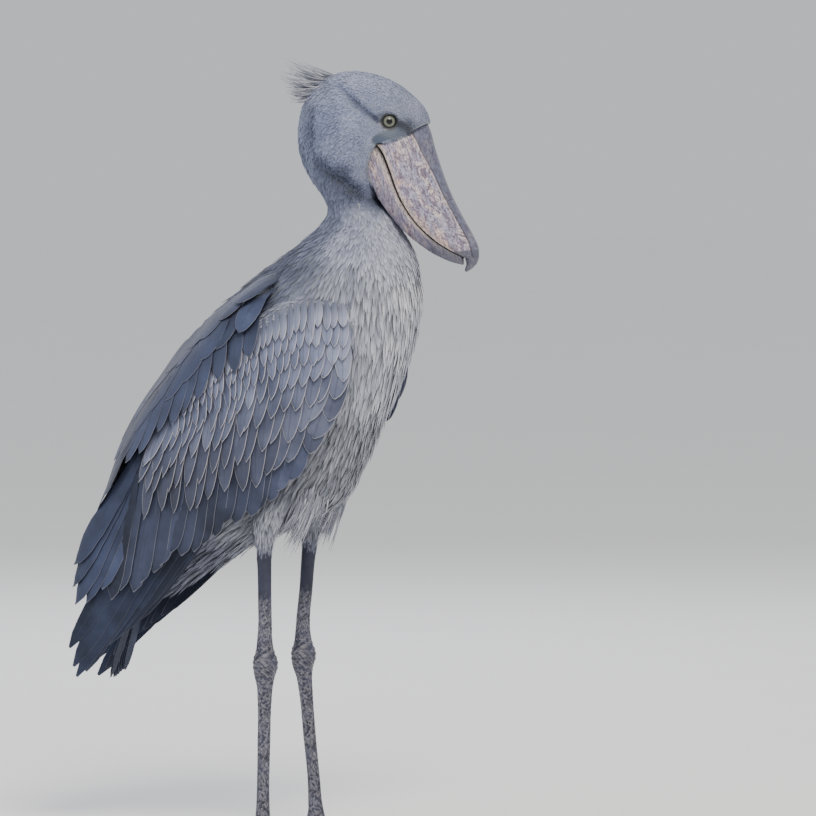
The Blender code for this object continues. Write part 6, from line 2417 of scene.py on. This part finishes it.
    def build_toes(self, skin: bpy.types.Material, horn: bpy.types.Material) -> None:
        """Makes the toes and their claws."""
        for toe in self.toes:
            angle = math.radians(self.side * toe.angle)
            way = np.array([math.cos(angle), math.sin(angle), 0.0])
            start = np.array([self.foot_x, self.side * self.leg_y, 0.0]) + way * (self.hub_inner - 9)
            longer = Toe(toe.name, toe.angle, toe.length + 9, toe.radius, toe.pads, toe.claw)
            rings, heights = self.toe_rings(longer, start, way)
            made = loft(f"toe_{toe.name}_{self.word}_skin", rings)
            set_attribute(made, "height", np.concatenate([*heights, [0.0, 0.0]]))
            made.data.materials.append(skin)
            dress(made, "leg_skin", f"toe_{toe.name}_{self.word}")
            claw = self.claw(toe, start + way * (longer.length - 2.5), way)
            claw.data.materials.append(horn)
            dress(claw, "claw_horn", f"claw_{toe.name}_{self.word}")

    def claw(self, toe: Toe, root: np.ndarray, way: np.ndarray) -> bpy.types.Object:
        """A curved claw that tapers to its point."""
        across = np.array([-way[1], way[0], 0.0])
        base = toe.radius * 0.5
        angles = np.linspace(0, math.tau, 20, endpoint=False)
        rings = []
        for i in range(22):
            share = i / 22
            arch = base * 1.05 + 1.5 * math.sin(math.pi * min(share * 1.3, 1.0)) - base * 0.75 * share**1.5
            size = base * (1 - 0.86 * share**1.1)
            spot = root + way * (toe.claw + 2.5) * share
            up = np.maximum(0.2, arch + size * np.sin(angles) * (1 + 0.1 * np.sin(angles)))
            ring = spot + across * (size * 0.78 * np.cos(angles))[:, None]
            rings.append((ring + np.stack([0 * up, 0 * up, up], -1)) * MM)
        end = (root + way * (toe.claw + 2.5) + np.array([0, 0, 0.5])) * MM
        return loft(f"claw_{toe.name}_{self.word}_horn", rings, None, end)

    def build(self, skin: bpy.types.Material, horn: bpy.types.Material) -> None:
        """Makes the whole leg."""
        self.build_shaft(skin)
        self.build_toes(skin, horn)


# Studio


@dataclass
class Studio:
    """The plain floor, the soft lights and the camera."""

    azimuth: float = 21.0
    elevation: float = 3.0
    distance: float = 10.0
    lens: float = 304.26
    aim: tuple = (0.1665, 0.0639, 0.6235)
    sky: str = "#e4e7ec"
    sky_strength: float = 0.8
    floor_loss: float = 0.15
    floor_size: float = 60.0

    def camera(self) -> None:
        """Sets the camera at the photo's angle."""
        data = bpy.data.cameras.new("camera")
        data.lens = self.lens
        data.sensor_width = 36.0
        data.clip_end = 200.0
        made = bpy.data.objects.new("camera", data)
        turn, rise = math.radians(self.azimuth), math.radians(self.elevation)
        back = Vector((math.sin(turn) * math.cos(rise), -math.cos(turn) * math.cos(rise), math.sin(rise)))
        made.location = Vector(self.aim) + Vector(SHIFT) + back * self.distance
        made.rotation_euler = back.to_track_quat("Z", "Y").to_euler()
        bpy.context.scene.collection.objects.link(made)
        bpy.context.scene.camera = made

    def light(self, name: str, place: tuple, size: float, power: float, colour: str) -> None:
        """Adds one soft area light that faces the bird."""
        data = bpy.data.lights.new(name, "AREA")
        data.size = size
        data.energy = power
        data.color = linear(colour)[:3]
        made = bpy.data.objects.new(name, data)
        made.location = place
        made.rotation_euler = (Vector(place) - Vector((0, 0, 0.65))).to_track_quat("Z", "Y").to_euler()
        bpy.context.scene.collection.objects.link(made)

    def floor(self) -> None:
        """Lays the plain pale floor."""
        half = self.floor_size / 2
        corners = np.array([(-half, -half, 0), (half, -half, 0), (half, half, 0), (-half, half, 0)], float)
        made = mesh_object("floor", corners - SHIFT, [(0, 1, 2, 3)], False)
        finish = bpy.data.materials.new("pale floor")
        finish.use_nodes = True
        tree = finish.node_tree
        shader = tree.nodes["Principled BSDF"]
        coords = add_node(tree, "ShaderNodeTexCoord").outputs["Object"]
        cloud = add_node(tree, "ShaderNodeTexNoise", {"Vector": coords, "Scale": 3.0, "Detail": 3.0})
        colour = add_node(
            tree,
            "ShaderNodeMix",
            {0: cloud.outputs["Fac"], 6: linear("#ebeae7"), 7: linear("#efeeeb")},
            data_type="RGBA",
        )
        tree.links.new(colour.outputs[2], shader.inputs["Base Color"])
        shader.inputs["Roughness"].default_value = 0.9
        shader.inputs["Specular IOR Level"].default_value = 0.0
        shader.inputs["Emission Color"].default_value = linear(self.sky)
        shader.inputs["Emission Strength"].default_value = self.sky_strength * self.floor_loss
        made.data.materials.append(finish)

    def world(self) -> None:
        """Fills the room with pale light."""
        world = bpy.data.worlds.new("studio")
        world.use_nodes = True
        sky = world.node_tree.nodes["Background"]
        sky.inputs["Color"].default_value = linear(self.sky)
        sky.inputs["Strength"].default_value = self.sky_strength
        bpy.context.scene.world = world

    def build(self) -> None:
        """Sets up the studio."""
        self.camera()
        self.floor()
        self.world()
        self.light("key", (2.2, -3.2, 4.6), 1.8, 290.0, "#fff6ea")
        self.light("fill", (-3.5, -2.5, 2.2), 3.0, 50.0, "#e6eeff")
        self.light("rim", (-1.5, 3.5, 3.2), 2.0, 90.0, "#eef2ff")


COATS = (
    Coat(Zone.FACE, 1.55, 11, rows=3, thick=0.35, spread=0.12, mottle=0.06),
    Coat(Zone.HEAD, 2.05, 12, rows=4, thick=0.4, spread=0.12, mottle=0.07),
    Coat(Zone.NECK, 2.6, 13, rows=5, thick=0.5, spread=0.12, mottle=0.09),
    Coat(Zone.MANTLE, 6.2, 14, rows=6, columns=4, thick=0.8, spread=0.08, mottle=0.07),
    Coat(Zone.BREAST, 4.6, 15, rows=9, columns=2, thick=0.8, spread=0.09, mottle=0.12),
    Coat(Zone.BELLY, 4.8, 16, rows=8, columns=2, thick=0.7, spread=0.12, mottle=0.12),
    Coat(Zone.THIGH, 2.8, 17, rows=6, columns=2, thick=0.6, spread=0.12, mottle=0.1),
    Coat(Zone.SHOULDER, 6.0, 18, rows=6, columns=4, thick=0.7, spread=0.06, mottle=0.05, tip_round=0.6),
)


def carry(made: bpy.types.Object, points: np.ndarray, values: dict[str, np.ndarray]) -> None:
    """Reads values at the nearest of some points and writes them to a mesh."""
    lookup = KDTree(len(points))
    for i, place in enumerate(points):
        lookup.insert(place, i)
    lookup.balance()
    spots = points_of(made)
    nearest, shares = [], []
    for spot in spots:
        found = lookup.find_n(spot, 4)
        nearest.append([f[1] for f in found])
        shares.append([1 / (f[2] + 1e-6) for f in found])
    nearest, shares = np.array(nearest), np.array(shares)
    shares /= shares.sum(axis=1, keepdims=True)
    for name, table in values.items():
        set_attribute(made, name, np.einsum("ij,ijk->ik", shares, table[nearest]))


def finish_skin(chart: CoatMap, finish: bpy.types.Material) -> None:
    """Colours the skin like the coat over it, and ties it to its solids."""
    set_attribute(chart.skin, "bare", chart.bare)
    set_attribute(chart.skin, "ripple", chart.ripple)
    set_attribute(chart.skin, "lore", np.clip(np.maximum(chart.lore * 0.8, chart.lid), 0, 1))
    set_attribute(chart.skin, "tone", chart.tone)
    chart.skin.data.materials.clear()
    chart.skin.data.materials.append(finish)
    bake_map(chart.skin, np.stack([chart.s, chart.angle / math.tau], -1))
    dress(chart.skin, "plumage", "torso", "neck", "head", "thigh_right", "thigh_left")


def main() -> None:
    """Builds the bird and its studio in order."""
    logging.basicConfig(level=logging.INFO, format="%(name)s: %(message)s")
    Studio().build()
    soft = FeatherFinish("small grey feathers", edge_amount=0.12, shaft_amount=0.1, root_shade=0.55)
    # Painted shade: the long breast feathers darken strongly to their roots, for the shadow in the gaps between the
    # hanging feathers; their dark shafts are their own streaks.
    streaked = FeatherFinish("long breast feathers", edge_amount=0.0, shaft_width=0.3, shaft_amount=0.35,
                             root_shade=0.3)
    loose = FeatherFinish("loose strands", edge_amount=0.0, shaft_amount=0.0, root_shade=1.0)
    broad = FeatherFinish("broad wing feathers", root_shade=0.75, edge="#c0bdc4", edge_amount=0.85,
                          edge_width=1.35)
    draped = FeatherFinish("back feathers", root_shade=0.6, edge="#8b8d9c", edge_amount=0.25, shaft_width=0.2,
                           shaft_amount=0.3)
    flight = FeatherFinish("stiff flight feathers", root_shade=0.8, edge="#a5a6b2", edge_amount=0.8,
                           edge_width=1.2, roughness=0.7, sheen=0.0)
    Bill().build(BillFinish().material())
    soft_look, streaked_look, broad_look = soft.material(), streaked.material(), broad.material()
    loose_look, flight_look = loose.material(), flight.material()
    skin = Skin().build()
    chart = CoatMap(skin)
    chart.write()
    looks = {
        Zone.BREAST: streaked_look,
        Zone.BELLY: streaked_look,
        Zone.THIGH: streaked_look,
        Zone.MANTLE: draped.material(),
        Zone.SHOULDER: broad_look,
    }
    for coat in COATS:
        coat.grow(chart, looks.get(coat.zone, soft_look))
    finish_skin(chart, SkinFinish().material())
    for side, word in SIDES:
        Wing(side, word).build(broad_look, flight_look)
        Eye(side, word).build(EyeFinish().material())
    Tail().build(flight_look)
    Strands().build(loose_look)
    leg_skin, claw_horn = LegFinish().material(), ClawFinish().material()
    Leg(-1, "right", 0.0, 1.0, -3.0).build(leg_skin, claw_horn)
    Leg(1, "left", 6.0, -4.0, 16.0).build(leg_skin, claw_horn)
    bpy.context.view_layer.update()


if __name__ == "__main__":
    main()
